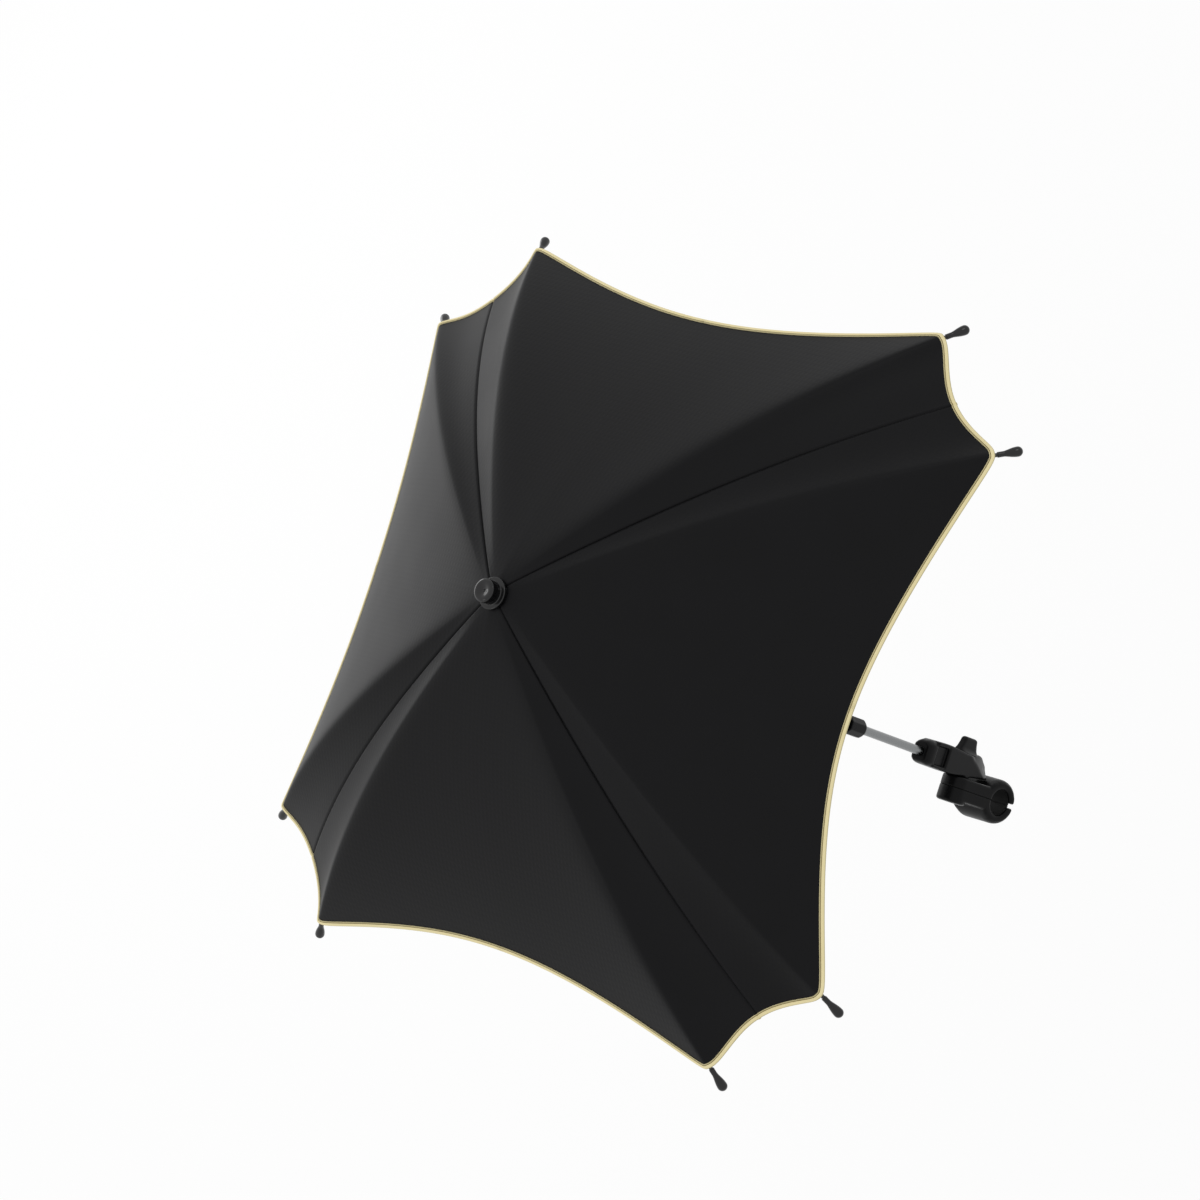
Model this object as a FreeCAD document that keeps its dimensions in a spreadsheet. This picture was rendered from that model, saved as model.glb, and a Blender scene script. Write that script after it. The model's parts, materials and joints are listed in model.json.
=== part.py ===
"""Pram parasol: square fabric canopy on eight hinged ribs, tilting shaft and swivelling tube clamp.

Millimetres. The origin is the centre of the clamp bore, +Z runs up the shaft to the canopy,
+Y runs along the clamp screw towards its wing knob.
"""
import FreeCAD, Part
import math
import os

import Sketcher

Vector = FreeCAD.Vector
Rotation = FreeCAD.Rotation
Placement = FreeCAD.Placement

DRIVING_SIZES = {
    # where the shaft stands over the clamp bore
    "shaft_offset_x": 0.0,
    "shaft_offset_y": 20.0,
    "apex_height": 722.0,
    "ferrule_gap": 0.4,
    # ferrule, crown hub and runner
    "ferrule_base_radius": 13.0,
    "ferrule_base_height": 3.2,
    "ferrule_cap_radius": 9.6,
    "ferrule_height": 14.0,
    "ferrule_stem_radius": 3.0,
    "hub_radius": 17.0,
    "hub_height": 15.0,
    "hub_drop": 1.6,
    "pivot_drop": 7.0,
    "crown_pin_radius": 1.0,
    "crown_pin_length": 8.0,
    "slot_width": 4.0,
    "slot_roof": 3.2,
    "hub_slot_inner": 3.3,
    "runner_slot_inner": 2.8,
    "runner_slot_depth": 20.0,
    "runner_bore_radius": 4.58,
    "runner_sleeve_radius": 8.5,
    "runner_flange_radius": 16.5,
    "runner_flange_half": 4.0,
    "runner_sleeve_length": 32.0,
    "runner_grip_radius": 11.0,
    "runner_grip_height": 3.0,
    # ribs, tips and stretchers
    "rib_radius": 1.6,
    "rib_eye_radius": 2.6,
    "rib_eye_width": 3.0,
    "rib_hole_radius": 1.05,
    "rib_sagitta": 26.0,
    "tip_neck_radius": 2.2,
    "tip_shoulder_radius": 3.85,
    "tip_taper_length": 10.2,
    "tip_ball_radius": 4.0,
    "tip_ball_reach": 11.0,
    "clip_radius": 2.4,
    "clip_length": 8.0,
    "clip_ear_thickness": 1.2,
    "clip_ear_gap": 1.6,
    "clip_ear_length": 6.0,
    "clip_ear_foot": 2.4,
    "clip_pin_radius": 0.8,
    "clip_drop": 5.2,
    "stretcher_radius": 1.3,
    "stretcher_eye_radius": 2.0,
    "stretcher_eye_width": 2.4,
    "stretcher_hole_radius": 0.86,
    # canopy fabric
    "tip_radius": 370.0,
    "tip_drop": 163.0,
    "fabric_thickness": 0.5,
    "fabric_clearance": 3.6,
    "piping_radius": 1.7,
    # shafts and tilt knuckle
    "upper_shaft_radius": 4.5,
    "upper_shaft_bore": 3.7,
    "upper_shaft_foot": 268.0,
    "lower_shaft_radius": 4.0,
    "lower_shaft_foot": 63.0,
    "lower_shaft_head": 230.0,
    "knuckle_foot": 214.0,
    "knuckle_pivot": 251.0,
    "knuckle_collar_flats": 16.5,
    "knuckle_collar_height": 23.0,
    "knuckle_taper": 1.8,
    "knuckle_round": 8.5,
    "knuckle_tongue_half": 4.0,
    "knuckle_cheek_gap": 0.4,
    "knuckle_half_width": 9.0,
    "knuckle_socket_height": 34.0,
    "tilt_bore_radius": 5.05,
    "tilt_pin_radius": 5.0,
    "tilt_button_radius": 4.98,
    "tilt_button_foot": 2.0,
    "tilt_button_proud": 2.5,
    "knuckle_slack": 0.6,
    # clamp
    "bore_radius": 12.5,
    "liner_thickness": 2.0,
    "jaw_radius": 19.4,
    "jaw_length": 41.0,
    "jaw_lip": 3.0,
    "jaw_lip_radius": 12.8,
    "jaw_turn": 9.2,
    "mouth_half": 3.0,
    "mouth_depth": 9.0,
    "split_half": 0.25,
    "swivel_height": 50.0,
    "swivel_reach": 49.36,
    "swivel_side": 7.99,
    "key_start": 27.0,
    "key_length": 8.0,
    "key_half_width": 4.0,
    "key_gap": 0.4,
    "key_height": 6.4,
    "key_root": 2.6,
    "key_pocket_depth": 7.0,
    "barrel_radius": 12.5,
    "barrel_top": 9.6,
    "barrel_foot": 13.0,
    "bolt_radius": 3.0,
    "bolt_hole_radius": 3.06,
    "bolt_free_radius": 3.4,
    "nut_bore_radius": 3.05,
    "bolt_foot": 12.8,
    "nut_flats": 10.0,
    "nut_height": 5.0,
    "nut_foot": 9.0,
    "arm_half_width": 9.4,
    "arm_foot": 10.0,
    "arm_top": 11.4,
    "arm_tail": 35.6,
    "arm_step": 87.0,
    "arm_head": 117.5,
    "arm_recess_depth": 3.4,
    "arm_rim": 2.4,
    "arm_end_radius": 11.8,
    "arm_end_height": 12.0,
    "arm_boss_radius": 9.0,
    "arm_slope_start": 76.0,
    "arm_slope_angle": 5.4,
    "knob_gap": 0.4,
    "knob_radius": 8.0,
    "knob_base_height": 4.0,
    "knob_tab_width": 21.0,
    "knob_tab_thickness": 7.0,
    "knob_dome_radius": 16.0,
    "knob_height": 15.0,
}


class Measure:
    """A length that carries both its number and the spreadsheet formula behind it."""

    def __init__(self, value, text):
        self.value = float(value)
        self.text = text

    @staticmethod
    def of(item):
        """Return item as a Measure; a plain number becomes a constant."""
        if isinstance(item, Measure):
            return item
        return Measure(item, repr(float(item)))

    def combined(self, other, sign, value):
        """Return the Measure made of this one, an operator and another."""
        return Measure(value, "(%s %s %s)" % (self.text, sign, other.text))

    def __add__(self, other):
        other = Measure.of(other)
        return self.combined(other, "+", self.value + other.value)

    def __radd__(self, other):
        return Measure.of(other) + self

    def __sub__(self, other):
        other = Measure.of(other)
        return self.combined(other, "-", self.value - other.value)

    def __rsub__(self, other):
        return Measure.of(other) - self

    def __mul__(self, factor):
        factor = Measure.of(factor)
        return self.combined(factor, "*", self.value * factor.value)

    def __rmul__(self, factor):
        return Measure.of(factor) * self

    def __truediv__(self, factor):
        factor = Measure.of(factor)
        return self.combined(factor, "/", self.value / factor.value)

    def __neg__(self):
        return Measure(-self.value, "(0 - %s)" % self.text)


doc = FreeCAD.newDocument("pram_parasol")
sheet = doc.addObject("Spreadsheet::Sheet", "Sizes")
SIZE = {}
for line, (alias, number) in enumerate(DRIVING_SIZES.items(), start=1):
    sheet.set("A%d" % line, alias)
    sheet.set("B%d" % line, "%g" % number)
    sheet.setAlias("B%d" % line, alias)
    SIZE[alias] = Measure(number, "Sizes.%s" % alias)
doc.recompute()

NODES = {}
TURN_Z_TO_X = Rotation(Vector(0, 1, 0), 90)
TURN_Z_TO_Y = Rotation(Vector(1, 0, 0), -90)
ACROSS_TURN = Rotation(Vector(1, 0, 0), 90)
# length of a cutter that passes right through whatever it cuts
THROUGH = 60.0


class Frame:
    """A local right-handed frame that sub-parts are drawn in."""

    def __init__(self, origin, rotation):
        self.origin = [Measure.of(item) for item in origin]
        self.placement = Placement(Vector(*[item.value for item in self.origin]), rotation)

    def put(self, obj, x, y, z, rotation=None):
        """Place obj at a local point, binding the point to the sheet where the frame is upright."""
        point = [Measure.of(x), Measure.of(y), Measure.of(z)]
        turn = rotation if rotation is not None else Rotation()
        local = Placement(Vector(*[p.value for p in point]), turn)
        obj.Placement = self.placement.multiply(local)
        if abs(self.placement.Rotation.Angle) < 1e-9:
            for axis, p, start in zip("xyz", point, self.origin):
                obj.setExpression("Placement.Base.%s" % axis, (start + p).text)
        return obj


def bind(obj, **sizes):
    """Set sizes of obj from Measures, each through an expression."""
    for name, item in sizes.items():
        item = Measure.of(item)
        setattr(obj, name, item.value)
        obj.setExpression(name, item.text)
    return obj


def cylinder(frame, name, radius, height, at, turn=None):
    """Add a cylinder whose foot is at a local point."""
    obj = bind(doc.addObject("Part::Cylinder", name), Radius=radius, Height=height)
    return frame.put(obj, *at, rotation=turn)


def cone(frame, name, foot, head, height, at, turn=None):
    """Add a truncated cone whose foot is at a local point."""
    obj = bind(doc.addObject("Part::Cone", name), Radius1=foot, Radius2=head, Height=height)
    return frame.put(obj, *at, rotation=turn)


def box(frame, name, size, at):
    """Add a box from its low corner."""
    obj = bind(doc.addObject("Part::Box", name), Length=size[0], Width=size[1], Height=size[2])
    return frame.put(obj, *at)


def prism(frame, name, sides, circumradius, height, at, turn=None):
    """Add a regular prism whose foot centre is at a local point."""
    obj = doc.addObject("Part::Prism", name)
    obj.Polygon = sides
    bind(obj, Circumradius=circumradius, Height=height)
    return frame.put(obj, *at, rotation=turn)


def fuse(name, *shapes):
    """Join solids into one."""
    obj = doc.addObject("Part::MultiFuse", name)
    obj.Shapes = list(shapes)
    obj.Refine = True
    return obj


def cut(name, base, *tools):
    """Take one or more tools away from a base."""
    obj = doc.addObject("Part::Cut", name)
    obj.Base = base
    obj.Tool = tools[0] if len(tools) == 1 else fuse(name + "_tools", *tools)
    obj.Refine = True
    return obj


def common(name, first, second):
    """Keep what two solids share."""
    obj = doc.addObject("Part::Common", name)
    obj.Base = first
    obj.Tool = second
    obj.Refine = True
    return obj


def group(name, *shapes):
    """Hold several separate solids as one piece."""
    obj = doc.addObject("Part::Compound", name)
    obj.Links = list(shapes)
    return obj


def node(label, obj):
    """Name obj as one handed-in piece."""
    obj.Label = label
    NODES[label] = obj
    return obj


def revolved(frame, label, profile, turn=None):
    """Add a turned body from a closed profile of (radius, height) Measures about the local Z axis."""
    body = doc.addObject("PartDesign::Body", label + "_body")
    sketch = body.newObject("Sketcher::SketchObject", label + "_profile")
    sketch.AttachmentSupport = [(body.Origin.OriginFeatures[4], "")]
    sketch.MapMode = "FlatFace"
    points = [(Measure.of(r), Measure.of(z)) for r, z in profile]
    corners = [Vector(r.value, z.value, 0) for r, z in points]
    count = len(corners)
    for k in range(count):
        sketch.addGeometry(Part.LineSegment(corners[k], corners[(k + 1) % count]), False)
    for k in range(count):
        sketch.addConstraint(Sketcher.Constraint("Coincident", k, 2, (k + 1) % count, 1))
    for k, (r, z) in enumerate(points):
        for kind, item in (("DistanceX", r), ("DistanceY", z)):
            if abs(item.value) < 1e-9:
                on_axis = -2 if kind == "DistanceX" else -1
                sketch.addConstraint(Sketcher.Constraint("PointOnObject", k, 1, on_axis))
                continue
            index = sketch.addConstraint(Sketcher.Constraint(kind, -1, 1, k, 1, item.value))
            sketch.setExpression("Constraints[%d]" % index, item.text)
    turned = body.newObject("PartDesign::Revolution", label + "_turn")
    turned.Profile = sketch
    turned.ReferenceAxis = (sketch, ["V_Axis"])
    turned.Angle = 360.0
    body.Tip = turned
    frame.put(body, 0, 0, 0, rotation=turn)
    return body


SHAFT = Frame((SIZE["shaft_offset_x"], SIZE["shaft_offset_y"], 0), Rotation())
JAW = Frame((0, 0, 0), Rotation(Vector(0, 1, 0), -90.0 - SIZE["jaw_turn"].value))
APEX = SIZE["apex_height"]
PIVOT_Z = APEX - SIZE["pivot_drop"]

# Plan layout of the eight ribs: hinge points on a circle, tips in four corner pairs.
HINGE_CIRCLE = 13.0
HINGE_HALF_ANGLE = math.radians(22.5)
TIP_HALF_ANGLE = math.radians(8.89)
RIB_COUNT = 8
STRETCHER_AT = 0.35
# degrees of arc left off where a rib meets its eye
EYE_TRIM = 0.16


class RibLine:
    """The planar arc that every rib follows, seen in its own upright plane (x out, z up)."""

    def __init__(self):
        hinge = (HINGE_CIRCLE * math.cos(HINGE_HALF_ANGLE), HINGE_CIRCLE * math.sin(HINGE_HALF_ANGLE))
        reach = SIZE["tip_radius"].value
        tip = (reach * math.cos(TIP_HALF_ANGLE), reach * math.sin(TIP_HALF_ANGLE))
        self.hinge = hinge
        self.slant = math.atan2(tip[1] - hinge[1], tip[0] - hinge[0])
        self.span = math.hypot(tip[0] - hinge[0], tip[1] - hinge[1])
        clearance = SIZE["fabric_clearance"].value
        self.fall = SIZE["tip_drop"].value - SIZE["pivot_drop"].value + clearance * 1.25
        chord = math.hypot(self.span, self.fall)
        sagitta = SIZE["rib_sagitta"].value
        self.radius = chord * chord / (8 * sagitta) + sagitta / 2
        normal = (self.fall / chord, self.span / chord)
        back = self.radius - sagitta
        self.centre = (self.span / 2 - normal[0] * back, -self.fall / 2 - normal[1] * back)
        self.start = math.degrees(math.atan2(-self.centre[1], -self.centre[0]))
        end = math.atan2(-self.fall - self.centre[1], self.span - self.centre[0])
        self.sweep = self.start - math.degrees(end)

    def at(self, share, offset=0.0):
        """Return the point at a share of the arc, moved outwards by offset."""
        angle = math.radians(self.start - self.sweep * share)
        reach = self.radius + offset
        return (self.centre[0] + reach * math.cos(angle), self.centre[1] + reach * math.sin(angle))

    def height(self, x, offset):
        """Return the height of the offset arc over a distance x out from the hinge."""
        reach = self.radius + offset
        return self.centre[1] + math.sqrt(reach * reach - (x - self.centre[0]) ** 2)

    def fall_angle(self, share):
        """Return how far the arc points below level at a share of it, in degrees."""
        return 90.0 - (self.start - self.sweep * share)


LINE = RibLine()


def rib_frame(index):
    """Return the frame of one rib: origin at its hinge, local x out along the rib in plan."""
    corner = math.radians(45.0 + 90.0 * (index // 2))
    side = -1.0 if index % 2 == 0 else 1.0
    along, across = LINE.hinge[0], side * LINE.hinge[1]
    x = along * math.cos(corner) - across * math.sin(corner)
    y = along * math.sin(corner) + across * math.cos(corner)
    heading = math.degrees(corner + side * LINE.slant)
    origin = (SIZE["shaft_offset_x"] + x, SIZE["shaft_offset_y"] + y, PIVOT_Z)
    return Frame(origin, Rotation(Vector(0, 0, 1), heading))


def level_turn(fall):
    """Return the turn that lays a local Z axis outwards, falling by an angle below level."""
    return Rotation(Vector(0, 1, 0), 90.0 + fall)


def across(width):
    """Return the local foot offset of a pin of this width that lies across a rib."""
    return -Measure.of(width) / 2


# Ferrule and crown.
ferrule_base = APEX + SIZE["ferrule_gap"]
ferrule_top = ferrule_base + SIZE["ferrule_height"]
stem_foot = APEX - SIZE["pivot_drop"]
cap = SIZE["ferrule_cap_radius"]
node("ferrule_cap", revolved(SHAFT, "ferrule_cap", [
    (0, stem_foot),
    (SIZE["ferrule_stem_radius"], stem_foot),
    (SIZE["ferrule_stem_radius"], ferrule_base),
    (SIZE["ferrule_base_radius"], ferrule_base),
    (SIZE["ferrule_base_radius"], ferrule_base + SIZE["ferrule_base_height"] - 1.0),
    (SIZE["ferrule_base_radius"] - 1.0, ferrule_base + SIZE["ferrule_base_height"]),
    (cap, ferrule_base + SIZE["ferrule_base_height"]),
    (cap, ferrule_top - 2.2),
    (cap - 0.7, ferrule_top - 0.7),
    (cap - 2.2, ferrule_top),
    (cap - 3.4, ferrule_top),
    (cap - 5.2, ferrule_top - 1.6),
    (2.0, ferrule_top - 2.0),
    (1.2, ferrule_top - 3.2),
    (0, ferrule_top - 3.2),
]))

hub_top = APEX - SIZE["hub_drop"]
hub_foot = hub_top - SIZE["hub_height"]
hub_blank = revolved(SHAFT, "crown_hub_blank", [
    (SIZE["ferrule_stem_radius"], hub_top),
    (SIZE["ferrule_stem_radius"], stem_foot),
    (SIZE["upper_shaft_radius"], stem_foot),
    (SIZE["upper_shaft_radius"], hub_foot),
    (SIZE["hub_radius"] - 6.0, hub_foot),
    (SIZE["hub_radius"], hub_foot + 5.0),
    (SIZE["hub_radius"], hub_top - 2.6),
    (SIZE["hub_radius"] - 3.4, hub_top),
])

hub_slots = []
crown_pins = []
RIB_FRAMES = [rib_frame(index) for index in range(RIB_COUNT)]
for index, frame in enumerate(RIB_FRAMES, start=1):
    slot = SIZE["slot_width"]
    hub_slots.append(box(frame, "hub_slot_%d" % index, (THROUGH, slot, SIZE["hub_height"] + SIZE["slot_roof"]),
                         (-SIZE["hub_slot_inner"], -slot / 2, -SIZE["hub_height"])))
    hub_slots.append(cylinder(frame, "hub_pin_hole_%d" % index, SIZE["crown_pin_radius"],
                              SIZE["crown_pin_length"], (0, across(-SIZE["crown_pin_length"]), 0),
                              ACROSS_TURN))
    crown_pins.append(cylinder(frame, "crown_pin_%d" % index, SIZE["crown_pin_radius"],
                               SIZE["crown_pin_length"], (0, across(-SIZE["crown_pin_length"]), 0),
                               ACROSS_TURN))
node("crown_hub", cut("crown_hub_cut", hub_blank, *hub_slots))
node("crown_pins", group("crown_pin_set", *crown_pins))

# Ribs with their tips and clips, and the stretchers that prop them.
clip_x, clip_z = LINE.at(STRETCHER_AT, -SIZE["clip_drop"].value)
PROP_LENGTH = math.hypot(clip_x, clip_z)
PROP_ANGLE = math.degrees(math.atan2(clip_x, -clip_z))
RUNNER_DROP = -2.0 * clip_z
for index, frame in enumerate(RIB_FRAMES, start=1):
    tag = "_%d" % index
    ring = doc.addObject("Part::Torus", "rib_arc" + tag)
    ring.Radius1 = LINE.radius
    bind(ring, Radius2=SIZE["rib_radius"])
    ring.Angle3 = LINE.sweep - EYE_TRIM
    arc_turn = Rotation(Vector(0, 0, 1), LINE.start - LINE.sweep)
    frame.put(ring, LINE.centre[0], 0, LINE.centre[1], rotation=ACROSS_TURN.multiply(arc_turn))
    eye = cylinder(frame, "rib_eye" + tag, SIZE["rib_eye_radius"], SIZE["rib_eye_width"],
                   (0, across(-SIZE["rib_eye_width"]), 0), ACROSS_TURN)
    hole = cylinder(frame, "rib_hole" + tag, SIZE["rib_hole_radius"], THROUGH, (0, THROUGH / 2, 0), ACROSS_TURN)
    node("rib" + tag, cut("rib_cut" + tag, fuse("rib_blank" + tag, ring, eye), hole))

    end_x, end_z = LINE.at(1.0)
    fall = LINE.fall_angle(1.0)
    out = (math.cos(math.radians(fall)), -math.sin(math.radians(fall)))
    neck = cone(frame, "tip_taper" + tag, SIZE["tip_neck_radius"], SIZE["tip_shoulder_radius"],
                SIZE["tip_taper_length"], (end_x, 0, end_z), level_turn(fall))
    ball = bind(doc.addObject("Part::Sphere", "tip_ball" + tag), Radius=SIZE["tip_ball_radius"])
    reach = SIZE["tip_ball_reach"].value
    frame.put(ball, end_x + out[0] * reach, 0, end_z + out[1] * reach)
    node("rib_tip" + tag, fuse("tip_blank" + tag, neck, ball))

    seat_x, seat_z = LINE.at(STRETCHER_AT)
    fall = LINE.fall_angle(STRETCHER_AT)
    out = (math.cos(math.radians(fall)), -math.sin(math.radians(fall)))
    half = SIZE["clip_length"].value / 2
    collar = cylinder(frame, "clip_collar" + tag, SIZE["clip_radius"], SIZE["clip_length"],
                      (seat_x - out[0] * half, 0, seat_z - out[1] * half), level_turn(fall))
    ears = []
    ear_drop = SIZE["clip_drop"] + SIZE["clip_ear_foot"]
    for side, name in ((1.0, "left"), (-1.0, "right")):
        low = SIZE["clip_ear_gap"] if side > 0 else -SIZE["clip_ear_gap"] - SIZE["clip_ear_thickness"]
        ear = bind(doc.addObject("Part::Box", "clip_ear_%s%s" % (name, tag)),
                   Length=SIZE["clip_ear_length"], Width=SIZE["clip_ear_thickness"], Height=ear_drop)
        down = ear_drop.value
        back = SIZE["clip_ear_length"].value / 2
        frame.put(ear, seat_x - out[0] * back + out[1] * down, low, seat_z - out[1] * back - out[0] * down,
                  rotation=Rotation(Vector(0, 1, 0), fall))
        ears.append(ear)
    pin_length = 2 * (SIZE["clip_ear_gap"] + SIZE["clip_ear_thickness"])
    pin = cylinder(frame, "clip_pin" + tag, SIZE["clip_pin_radius"], pin_length,
                   (clip_x, across(-pin_length), clip_z), ACROSS_TURN)
    passage = doc.addObject("Part::Torus", "clip_passage" + tag)
    passage.Radius1 = LINE.radius
    bind(passage, Radius2=SIZE["rib_radius"])
    passage.Angle3 = LINE.sweep
    passage.Placement = ring.Placement
    node("rib_clip" + tag, cut("clip_cut" + tag, fuse("clip_blank" + tag, collar, pin, *ears), passage))

    arm = cylinder(frame, "stretcher_arm" + tag, SIZE["stretcher_radius"], PROP_LENGTH,
                   (clip_x, 0, clip_z), Rotation(Vector(0, 1, 0), 180.0 + PROP_ANGLE))
    head = cylinder(frame, "stretcher_head" + tag, SIZE["stretcher_eye_radius"], SIZE["stretcher_eye_width"],
                    (clip_x, across(-SIZE["stretcher_eye_width"]), clip_z), ACROSS_TURN)
    foot = cylinder(frame, "stretcher_foot" + tag, SIZE["stretcher_eye_radius"], SIZE["stretcher_eye_width"],
                    (0, across(-SIZE["stretcher_eye_width"]), 2 * clip_z), ACROSS_TURN)
    hole = cylinder(frame, "stretcher_hole" + tag, SIZE["stretcher_hole_radius"], THROUGH,
                    (clip_x, THROUGH / 2, clip_z), ACROSS_TURN)
    node("stretcher" + tag, cut("stretcher_cut" + tag, fuse("stretcher_blank" + tag, arm, head, foot), hole))

# Runner.
runner_z = PIVOT_Z - RUNNER_DROP
flange_half = SIZE["runner_flange_half"]
sleeve_foot = runner_z - SIZE["runner_sleeve_length"]
runner_blank = revolved(SHAFT, "runner_blank", [
    (SIZE["runner_bore_radius"], runner_z + flange_half),
    (SIZE["runner_flange_radius"] - 1.0, runner_z + flange_half),
    (SIZE["runner_flange_radius"], runner_z + flange_half - 1.0),
    (SIZE["runner_flange_radius"], runner_z - flange_half),
    (SIZE["runner_sleeve_radius"], runner_z - flange_half - 2.0),
    (SIZE["runner_sleeve_radius"], sleeve_foot + SIZE["runner_grip_height"]),
    (SIZE["runner_grip_radius"], sleeve_foot + SIZE["runner_grip_height"]),
    (SIZE["runner_grip_radius"], sleeve_foot),
    (SIZE["runner_bore_radius"], sleeve_foot),
])
runner_slots = []
for index, frame in enumerate(RIB_FRAMES, start=1):
    slot = SIZE["slot_width"]
    runner_slots.append(box(frame, "runner_slot_%d" % index, (THROUGH, slot, THROUGH),
                            (-SIZE["runner_slot_inner"], -slot / 2, -RUNNER_DROP - SIZE["runner_slot_depth"])))
node("runner", cut("runner_cut", runner_blank, *runner_slots))

# Upper shaft and tilt knuckle. The tilt axis lies along X.
shaft_length = stem_foot - SIZE["upper_shaft_foot"]
node("upper_shaft", cut("upper_shaft_cut",
     cylinder(SHAFT, "upper_shaft_blank", SIZE["upper_shaft_radius"], shaft_length,
              (0, 0, SIZE["upper_shaft_foot"])),
     cylinder(SHAFT, "upper_shaft_hollow", SIZE["upper_shaft_bore"], shaft_length,
              (0, 0, SIZE["upper_shaft_foot"]))))

tilt_z = SIZE["knuckle_pivot"]
round_end = SIZE["knuckle_round"]
tongue = SIZE["knuckle_tongue_half"]
cheek = tongue + SIZE["knuckle_cheek_gap"]
width = SIZE["knuckle_half_width"]
collar_head = SIZE["knuckle_foot"] + SIZE["knuckle_collar_height"]
facet = 1.0 / math.cos(math.pi / 8)
collar_circum = SIZE["knuckle_collar_flats"] / 2 * facet
collar_turn = Rotation(Vector(0, 0, 1), 22.5)
collar_body = prism(SHAFT, "collar_prism", 8, collar_circum, SIZE["knuckle_collar_height"],
                    (0, 0, SIZE["knuckle_foot"]), collar_turn)
taper = SIZE["knuckle_taper"]
collar_taper = cone(SHAFT, "collar_taper", collar_circum - taper, collar_circum, taper,
                    (0, 0, SIZE["knuckle_foot"]))
collar_rest = cylinder(SHAFT, "collar_rest", collar_circum, SIZE["knuckle_collar_height"],
                       (0, 0, SIZE["knuckle_foot"] + taper))
collar = common("collar_chamfered", collar_body, fuse("collar_envelope", collar_taper, collar_rest))
tongue_plate = box(SHAFT, "tongue_plate", (2 * tongue, 2 * round_end, tilt_z - collar_head),
                   (-tongue, -round_end, collar_head))
tongue_round = cylinder(SHAFT, "tongue_round", round_end, 2 * tongue, (-tongue, 0, tilt_z), TURN_Z_TO_X)
node("knuckle_lower", cut("knuckle_lower_cut",
     fuse("knuckle_lower_blank", collar, tongue_plate, tongue_round),
     cylinder(SHAFT, "tongue_bore", SIZE["tilt_bore_radius"], THROUGH, (-THROUGH / 2, 0, tilt_z), TURN_Z_TO_X),
     cylinder(SHAFT, "collar_bore", SIZE["lower_shaft_radius"],
              SIZE["lower_shaft_head"] - SIZE["knuckle_foot"], (0, 0, SIZE["knuckle_foot"]))))

socket_foot = tilt_z + round_end + SIZE["knuckle_slack"]
fork_round = cylinder(SHAFT, "fork_round", round_end, 2 * width, (-width, 0, tilt_z), TURN_Z_TO_X)
fork_plate = box(SHAFT, "fork_plate", (2 * width, 2 * round_end, round_end + 8.0),
                 (-width, -round_end, tilt_z))
fork_socket = cylinder(SHAFT, "fork_socket", width, SIZE["knuckle_socket_height"], (0, 0, socket_foot))
fork_gap = box(SHAFT, "fork_gap", (2 * cheek, THROUGH, THROUGH), (-cheek, -THROUGH / 2, socket_foot - THROUGH))
fork_bore = cylinder(SHAFT, "fork_bore", SIZE["upper_shaft_radius"], THROUGH, (0, 0, SIZE["upper_shaft_foot"]))
pin_hole = cylinder(SHAFT, "fork_pin_hole", SIZE["tilt_pin_radius"], width, (-width, 0, tilt_z), TURN_Z_TO_X)
button_hole = cylinder(SHAFT, "fork_button_hole", SIZE["tilt_bore_radius"], width, (0, 0, tilt_z), TURN_Z_TO_X)
node("knuckle_upper", cut("knuckle_upper_cut",
     fuse("knuckle_upper_blank", fork_round, fork_plate, fork_socket),
     fork_gap, fork_bore, pin_hole, button_hole))
node("knuckle_pin", cylinder(SHAFT, "knuckle_pin_shape", SIZE["tilt_pin_radius"], width - 1.0,
                             (-width, 0, tilt_z), TURN_Z_TO_X))
button_foot = SIZE["tilt_button_foot"]
button_proud = SIZE["tilt_button_proud"]
node("tilt_button", cylinder(SHAFT, "tilt_button_shape", SIZE["tilt_button_radius"],
                             width + button_proud - button_foot, (button_foot, 0, tilt_z), TURN_Z_TO_X))

# Lower shaft and clamp arm.
node("lower_shaft", cylinder(SHAFT, "lower_shaft_shape", SIZE["lower_shaft_radius"],
                             SIZE["lower_shaft_head"] - SIZE["lower_shaft_foot"],
                             (0, 0, SIZE["lower_shaft_foot"])))
half_arm = SIZE["arm_half_width"]
arm_foot = SIZE["arm_foot"]
arm_top = SIZE["arm_top"]
swivel_z = SIZE["swivel_height"]
tail_z = swivel_z - SIZE["arm_tail"]
end_foot = SIZE["arm_head"] - SIZE["arm_end_height"]
arm_bar = box(SHAFT, "arm_bar", (2 * half_arm, arm_foot + arm_top, end_foot - tail_z),
              (-half_arm, -arm_foot, tail_z))
arm_end = common("arm_end",
                 box(SHAFT, "arm_end_block", (2 * half_arm, arm_foot + arm_top, SIZE["arm_end_height"]),
                     (-half_arm, -arm_foot, end_foot)),
                 cylinder(SHAFT, "arm_end_round", SIZE["arm_end_radius"], SIZE["arm_end_height"],
                          (0, 0, end_foot)))
arm_boss = cylinder(SHAFT, "arm_boss", SIZE["arm_boss_radius"], arm_foot, (0, -arm_foot, swivel_z), TURN_Z_TO_Y)
recess = SIZE["arm_recess_depth"]
rim = SIZE["arm_rim"]
recess_size = (recess, arm_foot + arm_top - 2 * rim, end_foot - SIZE["arm_step"])
recess_near = box(SHAFT, "arm_recess_near", recess_size, (half_arm - recess, rim - arm_foot, SIZE["arm_step"]))
recess_far = box(SHAFT, "arm_recess_far", recess_size, (-half_arm, rim - arm_foot, SIZE["arm_step"]))

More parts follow.
